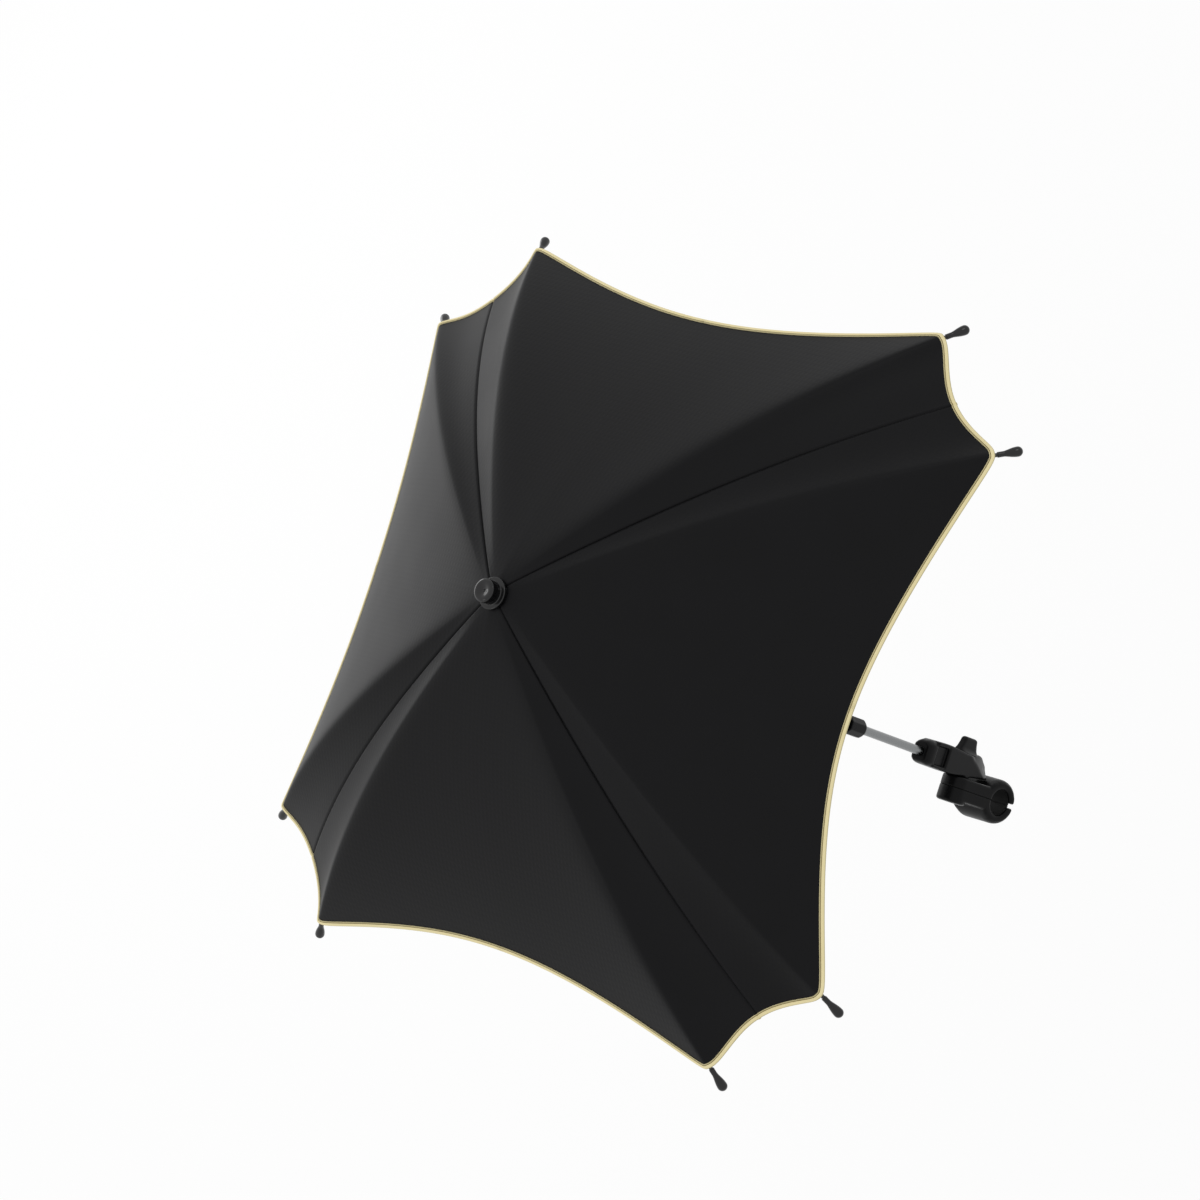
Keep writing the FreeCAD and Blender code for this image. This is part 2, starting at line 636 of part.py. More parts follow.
# The underside rises towards the tail, and two oblique facets bring the tail to a ridge.
SLOPE = Frame((SIZE["shaft_offset_x"], SIZE["shaft_offset_y"] - arm_foot, SIZE["arm_slope_start"]),
              Rotation(Vector(1, 0, 0), SIZE["arm_slope_angle"].value))
underside = box(SLOPE, "arm_underside", (THROUGH, THROUGH, 2 * THROUGH), (-THROUGH / 2, -THROUGH, -2 * THROUGH))
FACET_POINT = (10.0, 13.0, 58.0)
FACET_NORMAL = (0.838, 0.476, -0.264)
tail_facets = []
for side, name in ((1.0, "near"), (-1.0, "far")):
    turn = Rotation(Vector(0, 0, 1), Vector(FACET_NORMAL[0] * side, FACET_NORMAL[1], FACET_NORMAL[2]))
    facet = Frame((SIZE["shaft_offset_x"] + FACET_POINT[0] * side, SIZE["shaft_offset_y"] + FACET_POINT[1],
                   FACET_POINT[2]), turn)
    tail_facets.append(box(facet, "arm_facet_" + name, (2 * THROUGH, 2 * THROUGH, THROUGH),
                           (-THROUGH, -THROUGH, 0)))
arm_shaped = cut("arm_shaped", arm_bar, underside, recess_near, recess_far, *tail_facets)
node("clamp_arm", cut("clamp_arm_cut",
     fuse("clamp_arm_blank", arm_shaped, arm_end, arm_boss),
     cylinder(SHAFT, "arm_socket", SIZE["lower_shaft_radius"], 2 * THROUGH, (0, 0, SIZE["lower_shaft_foot"])),
     cylinder(SHAFT, "arm_bolt_hole", SIZE["bolt_hole_radius"], THROUGH, (0, -THROUGH / 2, swivel_z),
              TURN_Z_TO_Y)))

# Wing knob and bolt. The screw axis lies along Y over the swivel barrel.
SCREW = Frame((SIZE["shaft_offset_x"], SIZE["shaft_offset_y"], swivel_z), Rotation())
knob_foot = arm_top + SIZE["knob_gap"]
knob_r = SIZE["knob_radius"]
tab = SIZE["knob_tab_width"]
knob_base = SIZE["knob_base_height"]
knob_flare = revolved(SCREW, "knob_flare", [
    (SIZE["bolt_radius"], knob_foot),
    (knob_r - 1.0, knob_foot),
    (knob_r, knob_foot + 1.0),
    (knob_r, knob_foot + knob_base - 1.6),
    (knob_r - 1.6, knob_foot + knob_base),
    (SIZE["bolt_radius"], knob_foot + knob_base),
], TURN_Z_TO_Y)
tab_half = SIZE["knob_tab_thickness"] / 2
dome = SIZE["knob_dome_radius"]
knob_tab = common("knob_tab",
                  box(SCREW, "knob_tab_block", (2 * tab_half, SIZE["knob_height"], tab),
                      (-tab_half, knob_foot, -tab / 2)),
                  cylinder(SCREW, "knob_tab_dome", dome, 2 * tab_half,
                           (-tab_half, knob_foot + SIZE["knob_height"] - dome, 0), TURN_Z_TO_X))
node("wing_knob", cut("wing_knob_cut", fuse("wing_knob_blank", knob_flare, knob_tab),
     cylinder(SCREW, "knob_bolt_seat", SIZE["bolt_radius"], knob_foot + knob_base, (0, 0, 0), TURN_Z_TO_Y)))
bolt_foot = -SIZE["shaft_offset_y"] - SIZE["bolt_foot"]
node("clamp_bolt", cylinder(SCREW, "clamp_bolt_shape", SIZE["bolt_radius"], knob_foot + knob_base - bolt_foot,
                            (0, bolt_foot, 0), TURN_Z_TO_Y))

# Clamp jaws, drawn with local x towards the swivel barrel and local z along the bore.
jaw_r = SIZE["jaw_radius"]
jaw_len = SIZE["jaw_length"]
jaw_low = -jaw_len / 2
lip_len = SIZE["jaw_lip"]
split = SIZE["split_half"]
mouth = SIZE["mouth_half"]
mouth_depth = SIZE["mouth_depth"]
MOUTH_LAP = 1.0
NECK_START = 8.0
seat_r = SIZE["bore_radius"] + SIZE["liner_thickness"]
reach = SIZE["swivel_reach"]
aside = -SIZE["swivel_side"]
top = SIZE["barrel_top"]
barrel_r = SIZE["barrel_radius"]


def half_envelope(tag, side):
    """Return the space one jaw half may fill: beyond the split, and beyond the mouth on its open side."""
    low = split if side > 0 else -split - THROUGH
    back = box(JAW, "envelope_back_" + tag, (2 * THROUGH, THROUGH, THROUGH), (-mouth_depth, low, -THROUGH / 2))
    low = mouth if side > 0 else -mouth - THROUGH
    front = box(JAW, "envelope_front_" + tag, (THROUGH, THROUGH, THROUGH),
                (MOUTH_LAP - mouth_depth - THROUGH, low, -THROUGH / 2))
    return fuse("envelope_" + tag, back, front)


def jaw_blank(tag, barrel_low, barrel_high):
    """Return ring, neck and barrel joined, before the halves are parted."""
    ring = cylinder(JAW, "ring_" + tag, jaw_r, jaw_len, (0, 0, jaw_low))
    bridge = box(JAW, "bridge_" + tag, (reach - NECK_START, 2 * top, 2 * barrel_r),
                 (NECK_START, -top, aside - barrel_r))
    barrel = cylinder(JAW, "barrel_" + tag, barrel_r, barrel_high - barrel_low, (reach, barrel_low, aside),
                      TURN_Z_TO_Y)
    return fuse("jaw_blank_" + tag, ring, bridge, barrel)


def bore_tools(tag):
    """Return the seat that holds the liner between two end lips, and the bore through the lips."""
    seat = cylinder(JAW, "seat_" + tag, seat_r, jaw_len - 2 * lip_len, (0, 0, jaw_low + lip_len))
    lips = cylinder(JAW, "lips_" + tag, SIZE["jaw_lip_radius"], THROUGH, (0, 0, -THROUGH / 2))
    return seat, lips


def liner(tag, side):
    """Return one half of the rubber lining, which reaches across the mouth and stops at the split."""
    length = jaw_len - 2 * lip_len
    low = split if side > 0 else -split - THROUGH
    shell = cut("liner_shell_" + tag,
                cylinder(JAW, "liner_outer_" + tag, seat_r, length, (0, 0, jaw_low + lip_len)),
                cylinder(JAW, "liner_inner_" + tag, SIZE["bore_radius"], length, (0, 0, jaw_low + lip_len)))
    return common("liner_half_" + tag, shell,
                  box(JAW, "liner_envelope_" + tag, (THROUGH, THROUGH, THROUGH),
                      (-THROUGH / 2, low, -THROUGH / 2)))


key_low = SIZE["key_start"]
key_length = SIZE["key_length"]
key_half = SIZE["key_half_width"]
key_gap = SIZE["key_gap"]
upper_half = common("upper_jaw_half", jaw_blank("upper", -top, top), half_envelope("upper", 1.0))
node("upper_jaw", cut("upper_jaw_cut", upper_half,
     *bore_tools("upper"),
     cylinder(JAW, "upper_bolt_hole", SIZE["bolt_hole_radius"], THROUGH, (reach, -THROUGH / 2, aside),
              TURN_Z_TO_Y),
     box(JAW, "key_pocket", (key_length + 2 * key_gap, SIZE["key_pocket_depth"], 2 * (key_half + key_gap)),
         (key_low - key_gap, 0, aside - key_half - key_gap))))

lower_half = common("lower_jaw_half", jaw_blank("lower", -SIZE["barrel_foot"], top),
                    half_envelope("lower", -1.0))
key = box(JAW, "key_tongue", (key_length, SIZE["key_root"] + SIZE["key_height"], 2 * key_half),
          (key_low, -SIZE["key_root"], aside - key_half))
nut_seat = SIZE["nut_foot"]
hexagon = 1.0 / math.cos(math.pi / 6)
node("lower_jaw", cut("lower_jaw_cut", fuse("lower_jaw_blank", lower_half, key),
     *bore_tools("lower"),
     cylinder(JAW, "lower_bolt_hole", SIZE["bolt_free_radius"], THROUGH, (reach, -THROUGH / 2, aside),
              TURN_Z_TO_Y),
     prism(JAW, "nut_pocket", 6, SIZE["nut_flats"] / 2 * hexagon, SIZE["nut_height"] + SIZE["barrel_foot"],
           (reach, -nut_seat - SIZE["barrel_foot"], aside), TURN_Z_TO_Y)))
node("clamp_nut", cut("clamp_nut_cut",
     prism(JAW, "nut_blank", 6, SIZE["nut_flats"] / 2 * hexagon, SIZE["nut_height"],
           (reach, -nut_seat, aside), TURN_Z_TO_Y),
     cylinder(JAW, "nut_thread", SIZE["nut_bore_radius"], THROUGH, (reach, -THROUGH / 2, aside), TURN_Z_TO_Y)))
node("jaw_liner_upper", liner("upper", 1.0))
node("jaw_liner_lower", liner("lower", -1.0))

# Canopy fabric: four panels, each sewn seam to seam over two ribs, with scalloped edges.
FABRIC_START = -0.018
RIB_EDGE = 0.992
SIDE_EDGE = 0.867
CORNER_EDGE = 0.946
SIDE_SAG = 15.0
CORNER_SAG = 12.5
CORNER_FOLD = 0.8
CROWN_LIFT = SIZE["pivot_drop"].value - SIZE["fabric_clearance"].value + 0.3
CROWN_SHARE = 0.35
SEAM_SHARE = 0.498
PATCH_STEPS = (4, 12)
PATCH_ROWS = 15
SEWING_TOLERANCE = 0.02
# The piping lies along the cut edge, which runs at a slant to the rib lines, most of all beside a rib.
SIDE_SLANT = (1.25, 1.60)
CORNER_SLANT = (1.02, 1.26)
SIDE_PIPING_END = 0.03
CORNER_PIPING_END = 0.12
PIPING_STEPS = 16


def fabric_point(index, share):
    """Return the point of the fabric line over one rib at a share of its plan length."""
    frame = RIB_FRAMES[index % RIB_COUNT]
    lift = CROWN_LIFT * max(0.0, 1.0 - max(share, 0.0) / CROWN_SHARE) ** 2
    x = LINE.span * share
    local = Vector(x, 0, LINE.height(max(x, 0.0), SIZE["fabric_clearance"].value) + lift)
    return frame.placement.multVec(local)


def gore_point(index, across_share, share):
    """Return a fabric point between two ribs: a side gore sags, and a corner gore folds at its seam."""
    first = fabric_point(index, share)
    second = fabric_point(index + 1, share)
    point = first + (second - first) * across_share
    wide = index % 2 == 1
    swell = max(share, 0.0) * (1.6 - 0.6 * share)
    inward = 2.0 * min(across_share, 1.0 - across_share)
    rounded = inward * (2.0 - inward)
    if wide:
        sag = SIDE_SAG * rounded
    else:
        sag = CORNER_SAG * (CORNER_FOLD * inward + (1.0 - CORNER_FOLD) * rounded)
    return point - Vector(0, 0, sag * swell)


def gore_edge(index, across_share):
    """Return the share at which the scalloped edge cuts the gore."""
    deepest = SIDE_EDGE if index % 2 == 1 else CORNER_EDGE
    return RIB_EDGE - (RIB_EDGE - deepest) * 4.0 * across_share * (1.0 - across_share)


def patch_shape(gore, first_share, last_share):
    """Return the solid of the cloth of one gore between two shares across it."""
    steps = PATCH_STEPS[gore % 2]
    grid = []
    for column in range(steps + 1):
        share_across = first_share + (last_share - first_share) * column / steps
        edge = gore_edge(gore, share_across)
        rows = [FABRIC_START + (edge - FABRIC_START) * k / PATCH_ROWS for k in range(PATCH_ROWS + 1)]
        grid.append([gore_point(gore, share_across, share) for share in rows])
    surface = Part.BSplineSurface()
    surface.interpolate(grid)
    return surface.toShape().extrude(Vector(0, 0, -SIZE["fabric_thickness"].value))


def panel_shape(first_rib):
    """Return one panel, from the seam of a corner over two ribs to the seam of the next corner."""
    patches = [patch_shape(first_rib - 1, 1.0 - SEAM_SHARE, 1.0), patch_shape(first_rib, 0.0, 1.0),
               patch_shape(first_rib + 1, 0.0, SEAM_SHARE)]
    return patches[0].fuse(patches[1:], SEWING_TOLERANCE)


def piping_shape(gore):
    """Return the bound edge of one gore, stopping short of the ribs on either side."""
    wide = gore % 2 == 1
    end = SIDE_PIPING_END if wide else CORNER_PIPING_END
    middle_slant, rib_slant = SIDE_SLANT if wide else CORNER_SLANT
    points = []
    for k in range(PIPING_STEPS + 1):
        share_across = end + (1.0 - 2.0 * end) * k / PIPING_STEPS
        slant = middle_slant + (rib_slant - middle_slant) * abs(2.0 * share_across - 1.0)
        beyond = SIZE["piping_radius"].value * slant / LINE.span
        points.append(gore_point(gore, share_across, gore_edge(gore, share_across) + beyond))
    curve = Part.BSplineCurve()
    curve.interpolate(points)
    spine = Part.Wire([curve.toShape()])
    section = Part.Wire([Part.Circle(points[0], curve.tangent(0.0)[0], SIZE["piping_radius"].value).toShape()])
    return spine.makePipeShell([section], True, True)


for number, first_rib in enumerate((7, 1, 3, 5), start=1):
    panel = doc.addObject("Part::Feature", "canopy_panel_%d_shape" % number)
    panel.Shape = panel_shape(first_rib)
    node("canopy_panel_%d" % number, panel)
piping = doc.addObject("Part::Feature", "edge_piping_shape")
piping.Shape = Part.makeCompound([piping_shape(gore) for gore in range(RIB_COUNT)])
node("edge_piping", piping)

doc.recompute()
for obj in doc.Objects:
    if "Invalid" in obj.State or "Error" in obj.State:
        raise RuntimeError("%s did not build" % obj.Label)
os.makedirs("parts", exist_ok=True)
for label, obj in NODES.items():
    if obj.Shape.isNull() or not obj.Shape.isValid():
        raise RuntimeError("%s has no valid shape" % label)
    obj.Shape.exportStep("parts/%s.step" % label)
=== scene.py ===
import json
import logging
import math
from dataclasses import dataclass, field, replace
from enum import Enum

import bmesh
import bpy
import numpy as np
from mathutils import Matrix, Vector

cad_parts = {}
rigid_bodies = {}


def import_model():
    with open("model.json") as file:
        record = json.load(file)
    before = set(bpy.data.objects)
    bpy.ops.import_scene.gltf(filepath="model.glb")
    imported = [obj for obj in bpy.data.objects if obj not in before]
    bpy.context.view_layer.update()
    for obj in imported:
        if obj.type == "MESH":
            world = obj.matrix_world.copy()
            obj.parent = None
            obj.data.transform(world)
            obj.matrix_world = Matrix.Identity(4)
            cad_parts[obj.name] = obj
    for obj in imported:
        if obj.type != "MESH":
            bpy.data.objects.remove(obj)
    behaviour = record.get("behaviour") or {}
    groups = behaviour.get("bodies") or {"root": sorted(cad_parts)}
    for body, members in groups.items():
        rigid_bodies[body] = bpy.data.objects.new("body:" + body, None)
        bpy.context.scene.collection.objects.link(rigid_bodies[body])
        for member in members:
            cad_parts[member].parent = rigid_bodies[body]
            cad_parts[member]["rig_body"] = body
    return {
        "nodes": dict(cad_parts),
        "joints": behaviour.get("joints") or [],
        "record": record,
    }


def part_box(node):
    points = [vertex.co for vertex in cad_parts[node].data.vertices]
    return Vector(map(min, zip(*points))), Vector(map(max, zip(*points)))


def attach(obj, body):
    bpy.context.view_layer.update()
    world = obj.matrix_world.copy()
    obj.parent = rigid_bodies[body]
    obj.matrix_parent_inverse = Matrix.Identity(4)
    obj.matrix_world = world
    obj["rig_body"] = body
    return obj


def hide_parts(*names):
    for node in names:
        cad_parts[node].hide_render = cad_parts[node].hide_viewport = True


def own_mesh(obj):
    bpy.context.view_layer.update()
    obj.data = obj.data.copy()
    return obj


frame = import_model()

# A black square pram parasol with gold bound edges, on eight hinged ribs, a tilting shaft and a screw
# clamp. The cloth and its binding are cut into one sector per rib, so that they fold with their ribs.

LOG = logging.getLogger("parasol")
MM = 0.001
RIB_COUNT = 8
PANEL_COUNT = 4
UPWARDS = np.array((0.0, 0.0, 1.0))
WHITE = "#FFFFFF"
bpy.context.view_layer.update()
# Points that lie closer than this, in metres, are one point.
WELD = 1e-6

# A Mix node's sockets for colours: the share, the two colours and the result.
MIX_SHARE, MIX_FIRST, MIX_SECOND, MIX_RESULT = 0, 6, 7, 2
# Grains across one of the soft clouds in a finish's tint and polish, and the clouds' layers of detail.
CLOUD_GRAINS, CLOUD_DETAIL = 40.0, 3.0
# Grains from thread to thread, how far threads wander, and the radians that a wave turns in one unit.
THREAD_GRAINS, THREAD_WANDER, WAVE_RADIANS = 3.948, 0.6, 20.0
# The scale of a drawn tube's pattern along the tube, beside one across it.
DRAWN_STRETCH = 0.02


def linear(colour: str) -> tuple[float, float, float, float]:
    """Turn an sRGB hex colour into the linear colour that a shader takes.

    A channel c up to 0.04045 becomes c / 12.92, and a higher one ((c + 0.055) / 1.055) to the power 2.4.

    Args:
        colour: six hex digits after a hash sign.

    Returns:
        Red, green, blue and an alpha of one.
    """
    channels = np.array([int(colour[k:k + 2], 16) for k in (1, 3, 5)]) / 255.0
    low, high = channels / 12.92, ((channels + 0.055) / 1.055) ** 2.4
    red, green, blue = np.where(channels <= 0.04045, low, high).tolist()
    return red, green, blue, 1.0


def add_node(tree: bpy.types.NodeTree, kind: str, settings: dict[str | int, object] | None = None,
             links: dict[str | int, bpy.types.NodeSocket] | None = None) -> bpy.types.Node:
    """Add a node with its settings and its incoming links.

    Args:
        tree: the node tree that gets the node.
        kind: the node's type name.
        settings: input values by socket name or number, or attributes of the node itself.
        links: output sockets of other nodes by the name or number of the input they feed.

    Returns:
        The new node.
    """
    node = tree.nodes.new(kind)
    for name, value in (settings or {}).items():
        if isinstance(name, str) and hasattr(node, name):
            setattr(node, name, value)
        else:
            node.inputs[name].default_value = value
    for name, source in (links or {}).items():
        tree.links.new(source, node.inputs[name])
    return node


class Surface(Enum):
    """How the surface of a finish was made, which decides its pattern."""

    WOVEN = "woven"
    RIBBON = "ribbon"
    MOULDED = "moulded"
    DRAWN = "drawn"
    PAINTED = "painted"
    PLATED = "plated"

    @property
    def threaded(self) -> bool:
        """Tell whether the surface is made of threads, which follow the piece's UV map."""
        return self in (Surface.WOVEN, Surface.RIBBON)


@dataclass(frozen=True)
class Finish:
    """One real material and the way its surface was made.

    The grain is the real size, in millimetres, of the pattern that the surface shows, and the relief is
    the pattern's height. In soft clouds, the colour drifts to the shade and the roughness by the spread.
    """

    name: str
    surface: Surface
    colour: str
    shade: str
    roughness: float
    grain: float
    relief: float
    metallic: float = 0.0
    specular: float = 0.5
    spread: float = 0.06

    def material(self) -> bpy.types.Material:
        """Build the finish as a material.

        Returns:
            The material, made anew on each call.
        """
        made = bpy.data.materials.new(self.name)
        made.use_nodes = True
        tree = made.node_tree
        shader = tree.nodes["Principled BSDF"]
        shader.inputs["Metallic"].default_value = self.metallic
        shader.inputs["Specular IOR Level"].default_value = self.specular
        where = add_node(tree, "ShaderNodeTexCoord").outputs["UV" if self.surface.threaded else "Object"]
        if self.surface is Surface.DRAWN:
            where = add_node(tree, "ShaderNodeMapping", {"Scale": (1.0, 1.0, DRAWN_STRETCH)},
                             {"Vector": where}).outputs["Vector"]
        per_metre = 1.0 / (self.grain * MM)
        clouds = {"Scale": per_metre / CLOUD_GRAINS, "Detail": CLOUD_DETAIL}
        cloudy = add_node(tree, "ShaderNodeTexNoise", clouds, {"Vector": where}).outputs["Fac"]
        colours = {"data_type": "RGBA", MIX_FIRST: linear(self.colour), MIX_SECOND: linear(self.shade)}
        tint = add_node(tree, "ShaderNodeMix", colours, {MIX_SHARE: cloudy})
        limits = {"To Min": self.roughness - self.spread, "To Max": self.roughness + self.spread}
        polish = add_node(tree, "ShaderNodeMapRange", limits, {"Value": cloudy})
        bump = add_node(tree, "ShaderNodeBump", {"Strength": 1.0, "Distance": self.relief * MM},
                        {"Height": self.grain_height(tree, where, per_metre)})
        tree.links.new(tint.outputs[MIX_RESULT], shader.inputs["Base Color"])
        tree.links.new(polish.outputs["Result"], shader.inputs["Roughness"])
        tree.links.new(bump.outputs["Normal"], shader.inputs["Normal"])
        return made

    def grain_height(self, tree: bpy.types.NodeTree, where: bpy.types.NodeSocket,
                     per_metre: float) -> bpy.types.NodeSocket:
        """Add the height pattern of the surface.

        Threads are one sine wave across and one along, and the higher of the two lies on top. Any other
        surface is a noise as fine as its grain.

        Args:
            tree: the material's node tree.
            where: the coordinates that the pattern follows.
            per_metre: how many grains go to a metre.

        Returns:
            The socket that carries the height, from nought to one.
        """
        if not self.surface.threaded:
            return add_node(tree, "ShaderNodeTexNoise", {"Scale": per_metre, "Detail": 2.0},
                            {"Vector": where}).outputs["Fac"]
        per_wave = per_metre / THREAD_GRAINS * 2.0 * math.pi / WAVE_RADIANS
        wave = {"Scale": per_wave, "Distortion": THREAD_WANDER, "Detail": 1.0}
        across, along = [add_node(tree, "ShaderNodeTexWave", {"bands_direction": axis, **wave},
                                  {"Vector": where}).outputs["Fac"] for axis in ("X", "Y")]
        top = add_node(tree, "ShaderNodeMath", {"operation": "MAXIMUM"}, {0: across, 1: along})
        return top.outputs["Value"]


# Polyester satin, woven tight: near black, with a sheen that shows at a slant. The threads are drawn 4.3 mm
# apart, many times their real spacing, so that they show.
SATIN_CLOTH = Finish("woven_black_polyester_satin", Surface.WOVEN, "#0B0B0C", "#0F0F11",
                     roughness=0.46, grain=1.1, relief=0.04, specular=0.11, spread=0.03)
# Folded bias ribbon: pale gold thread with a soft sheen and cross ribs, drawn 4 mm apart so that they show.
GOLD_RIBBON = Finish("woven_gold_bias_ribbon", Surface.RIBBON, "#DCCE9A", "#E9DDB0",
                     roughness=0.55, grain=1.0, relief=0.12, specular=0.3)
# A duller gold for the ribbon's inner lip, and painted shade on its outer rounded edge, where the band curves
# away from the light.
EDGE_TONE_AND_PAINTED_SHADE = Finish("ribbon_edge_tone_and_painted_shade", Surface.RIBBON, "#BBAF83", "#C6BC93",
                     roughness=0.6, grain=1.0, relief=0.08, specular=0.25)
# The stitched groove beside the band: brown thread, darkened with painted shade for the groove's recess.
GROOVE_THREAD_AND_PAINTED_SHADE = Finish("brown_groove_thread_and_painted_shade", Surface.RIBBON, "#86764A", "#6B5B34",
                         roughness=0.75, grain=1.0, relief=0.15, specular=0.2)
# ABS moulded in a polished tool: deep black with sharp reflections.
POLISHED_ABS = Finish("polished_black_abs", Surface.MOULDED, "#080809", "#0C0C0D",
                      roughness=0.10, grain=3.0, relief=0.004, specular=0.4, spread=0.03)
# Polypropylene moulded in a finely sparked tool: black with a soft, low highlight.
SATIN_PLASTIC = Finish("satin_black_polypropylene", Surface.MOULDED, "#09090A", "#0D0D0E",
                       roughness=0.32, grain=0.5, relief=0.012, specular=0.10)
# Drawn aluminium tube: mid grey, with faint lines along its length.
DRAWN_ALUMINIUM = Finish("drawn_aluminium_tube", Surface.DRAWN, "#8C8E8E", "#7B7D7E",
                         roughness=0.26, grain=0.6, relief=0.006, metallic=1.0)
# Spring steel wire with black stove paint: dark, with a clear highlight along the wire.
PAINTED_WIRE = Finish("black_painted_spring_wire", Surface.PAINTED, "#111112", "#181819",
                      roughness=0.30, grain=1.5, relief=0.01)
# Zinc plated steel: grey, with a faint mottle.
ZINC_STEEL = Finish("zinc_plated_steel", Surface.PLATED, "#B4B6B9", "#9C9EA2",
                    roughness=0.28, grain=0.8, relief=0.006, metallic=1.0)
# Soft moulded rubber: dull black with a fine grain.
GRIP_RUBBER = Finish("soft_black_rubber", Surface.MOULDED, "#151515", "#1D1D1D",
                     roughness=0.72, grain=0.6, relief=0.03, specular=0.3)


def close_shell(mesh: bpy.types.Mesh) -> None:
    """Merge the doubles of a mesh and turn its faces outwards.

    Args:
        mesh: the mesh, which is changed in place.
    """
    shell = bmesh.new()
    shell.from_mesh(mesh)
    bmesh.ops.remove_doubles(shell, verts=shell.verts, dist=WELD)
    bmesh.ops.recalc_face_normals(shell, faces=shell.faces)
    shell.to_mesh(mesh)
    shell.free()


def shade_smooth(mesh: bpy.types.Mesh) -> None:
    """Shade every face of a mesh smooth."""
    mesh.polygons.foreach_set("use_smooth", np.ones(len(mesh.polygons), bool))


def lay_uv(mesh: bpy.types.Mesh, name: str, plan: np.ndarray) -> None:
    """Give a mesh a UV map.

    Args:
        mesh: the mesh.
        name: the map's name.
        plan: two numbers for each point of the mesh, in metres.
    """
    corners = np.empty(len(mesh.loops), np.int32)
    mesh.loops.foreach_get("vertex_index", corners)
    mesh.uv_layers.new(name=name).data.foreach_set("uv", plan[corners].ravel())


def mesh_piece(name: str, points: np.ndarray, faces: list[list[int]], body: str,
               closed: bool = True) -> bpy.types.Object:
    """Put points and faces into a mesh that rides on a body.

    Args:
        name: the piece's name.
        points: an array of points, in metres, with three numbers each.
        faces: corner numbers of each face.
        body: the body that carries the piece.
        closed: whether doubles are merged and the faces are turned outwards.

    Returns:
        The new object, smooth shaded.
    """
    mesh = bpy.data.meshes.new(name)
    mesh.from_pydata(points.reshape(-1, 3).tolist(), [], faces)
    if closed:
        close_shell(mesh)
    shade_smooth(mesh)
    piece = bpy.data.objects.new(name, mesh)
    bpy.context.scene.collection.objects.link(piece)
    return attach(piece, body)


def grid_faces(rows: int, columns: int, wrap: bool = False) -> np.ndarray:
    """Number the four corners of each cell of a grid of points.

    Args:
        rows: points along the first parameter.
        columns: points along the second parameter.
        wrap: whether the last column joins the first.

    Returns:
        An array of cells with four corner numbers each.
    """
    number = np.arange(rows * columns).reshape(rows, columns)
    beside = np.roll(number, -1, axis=1)
    cells = np.stack([number[:-1], beside[:-1], beside[1:], number[1:]], axis=-1)
    return (cells if wrap else cells[:, :-1]).reshape(-1, 4)


def tube_faces(rows: int, around: int) -> list[list[int]]:
    """Number the faces of a tube of points, with one face across each end.

    Args:
        rows: points along the tube.
        around: points round its section.

    Returns:
        The faces of the wall, then the two ends.
    """
    last = (rows - 1) * around
    ends = [list(range(around)), list(range(last, last + around))]
    return grid_faces(rows, around, wrap=True).tolist() + ends


def sheet_faces(rows: int, columns: int, turned: bool) -> list[list[int]]:
    """Number the faces of a closed sheet, whose underside repeats the points of its top.

    Args:
        rows: points along the first parameter.
        columns: points along the second parameter.
        turned: whether the grid runs the other way, so that the faces are turned round.

    Returns:
        The faces of the top and the underside, then the rim between them.
    """
    top = grid_faces(rows, columns)
    below = rows * columns
    number = np.arange(below).reshape(rows, columns)
    border = np.concatenate([number[0, :-1], number[:-1, -1], number[-1, :0:-1], number[:0:-1, 0]])
    ahead = np.roll(border, -1)
    rim = np.stack([border + below, ahead + below, ahead, border], axis=1)
    faces = np.concatenate([top, top[:, ::-1] + below, rim])
    return (faces[:, ::-1] if turned else faces).tolist()


def revolved(name: str, profile: np.ndarray, origin: np.ndarray, along: np.ndarray, body: str,
             steps: int) -> bpy.types.Object:
    """Turn a profile about a line.

    A point at distance a along the line and radius r goes to the origin plus a times the line's direction,
    plus r times the spoke at angle u: the cosine of u to the side and its sine square to that.

    Args:
        name: the piece's name.
        profile: (distance, radius) pairs in metres, starting and ending on the line.
        origin: a point of the line.
        along: the line's unit direction.
        body: the body that carries the piece.
        steps: points round the line.

    Returns:
        The closed, turned piece.
    """
    # A line steeper than this takes its first spoke square to X, and any other square to the upright.
    steep = 0.9
    side = np.cross(along, UPWARDS if abs(along[2]) < steep else (1.0, 0.0, 0.0))
    side /= np.linalg.norm(side)
    other = np.cross(along, side)
    angle = np.linspace(0.0, 2.0 * math.pi, steps, endpoint=False)
    spokes = np.cos(angle)[:, None] * side + np.sin(angle)[:, None] * other
    points = origin + profile[:, None, :1] * along + profile[:, None, 1:] * spokes[None]
    return mesh_piece(name, points, grid_faces(len(profile), steps, wrap=True).tolist(), body)


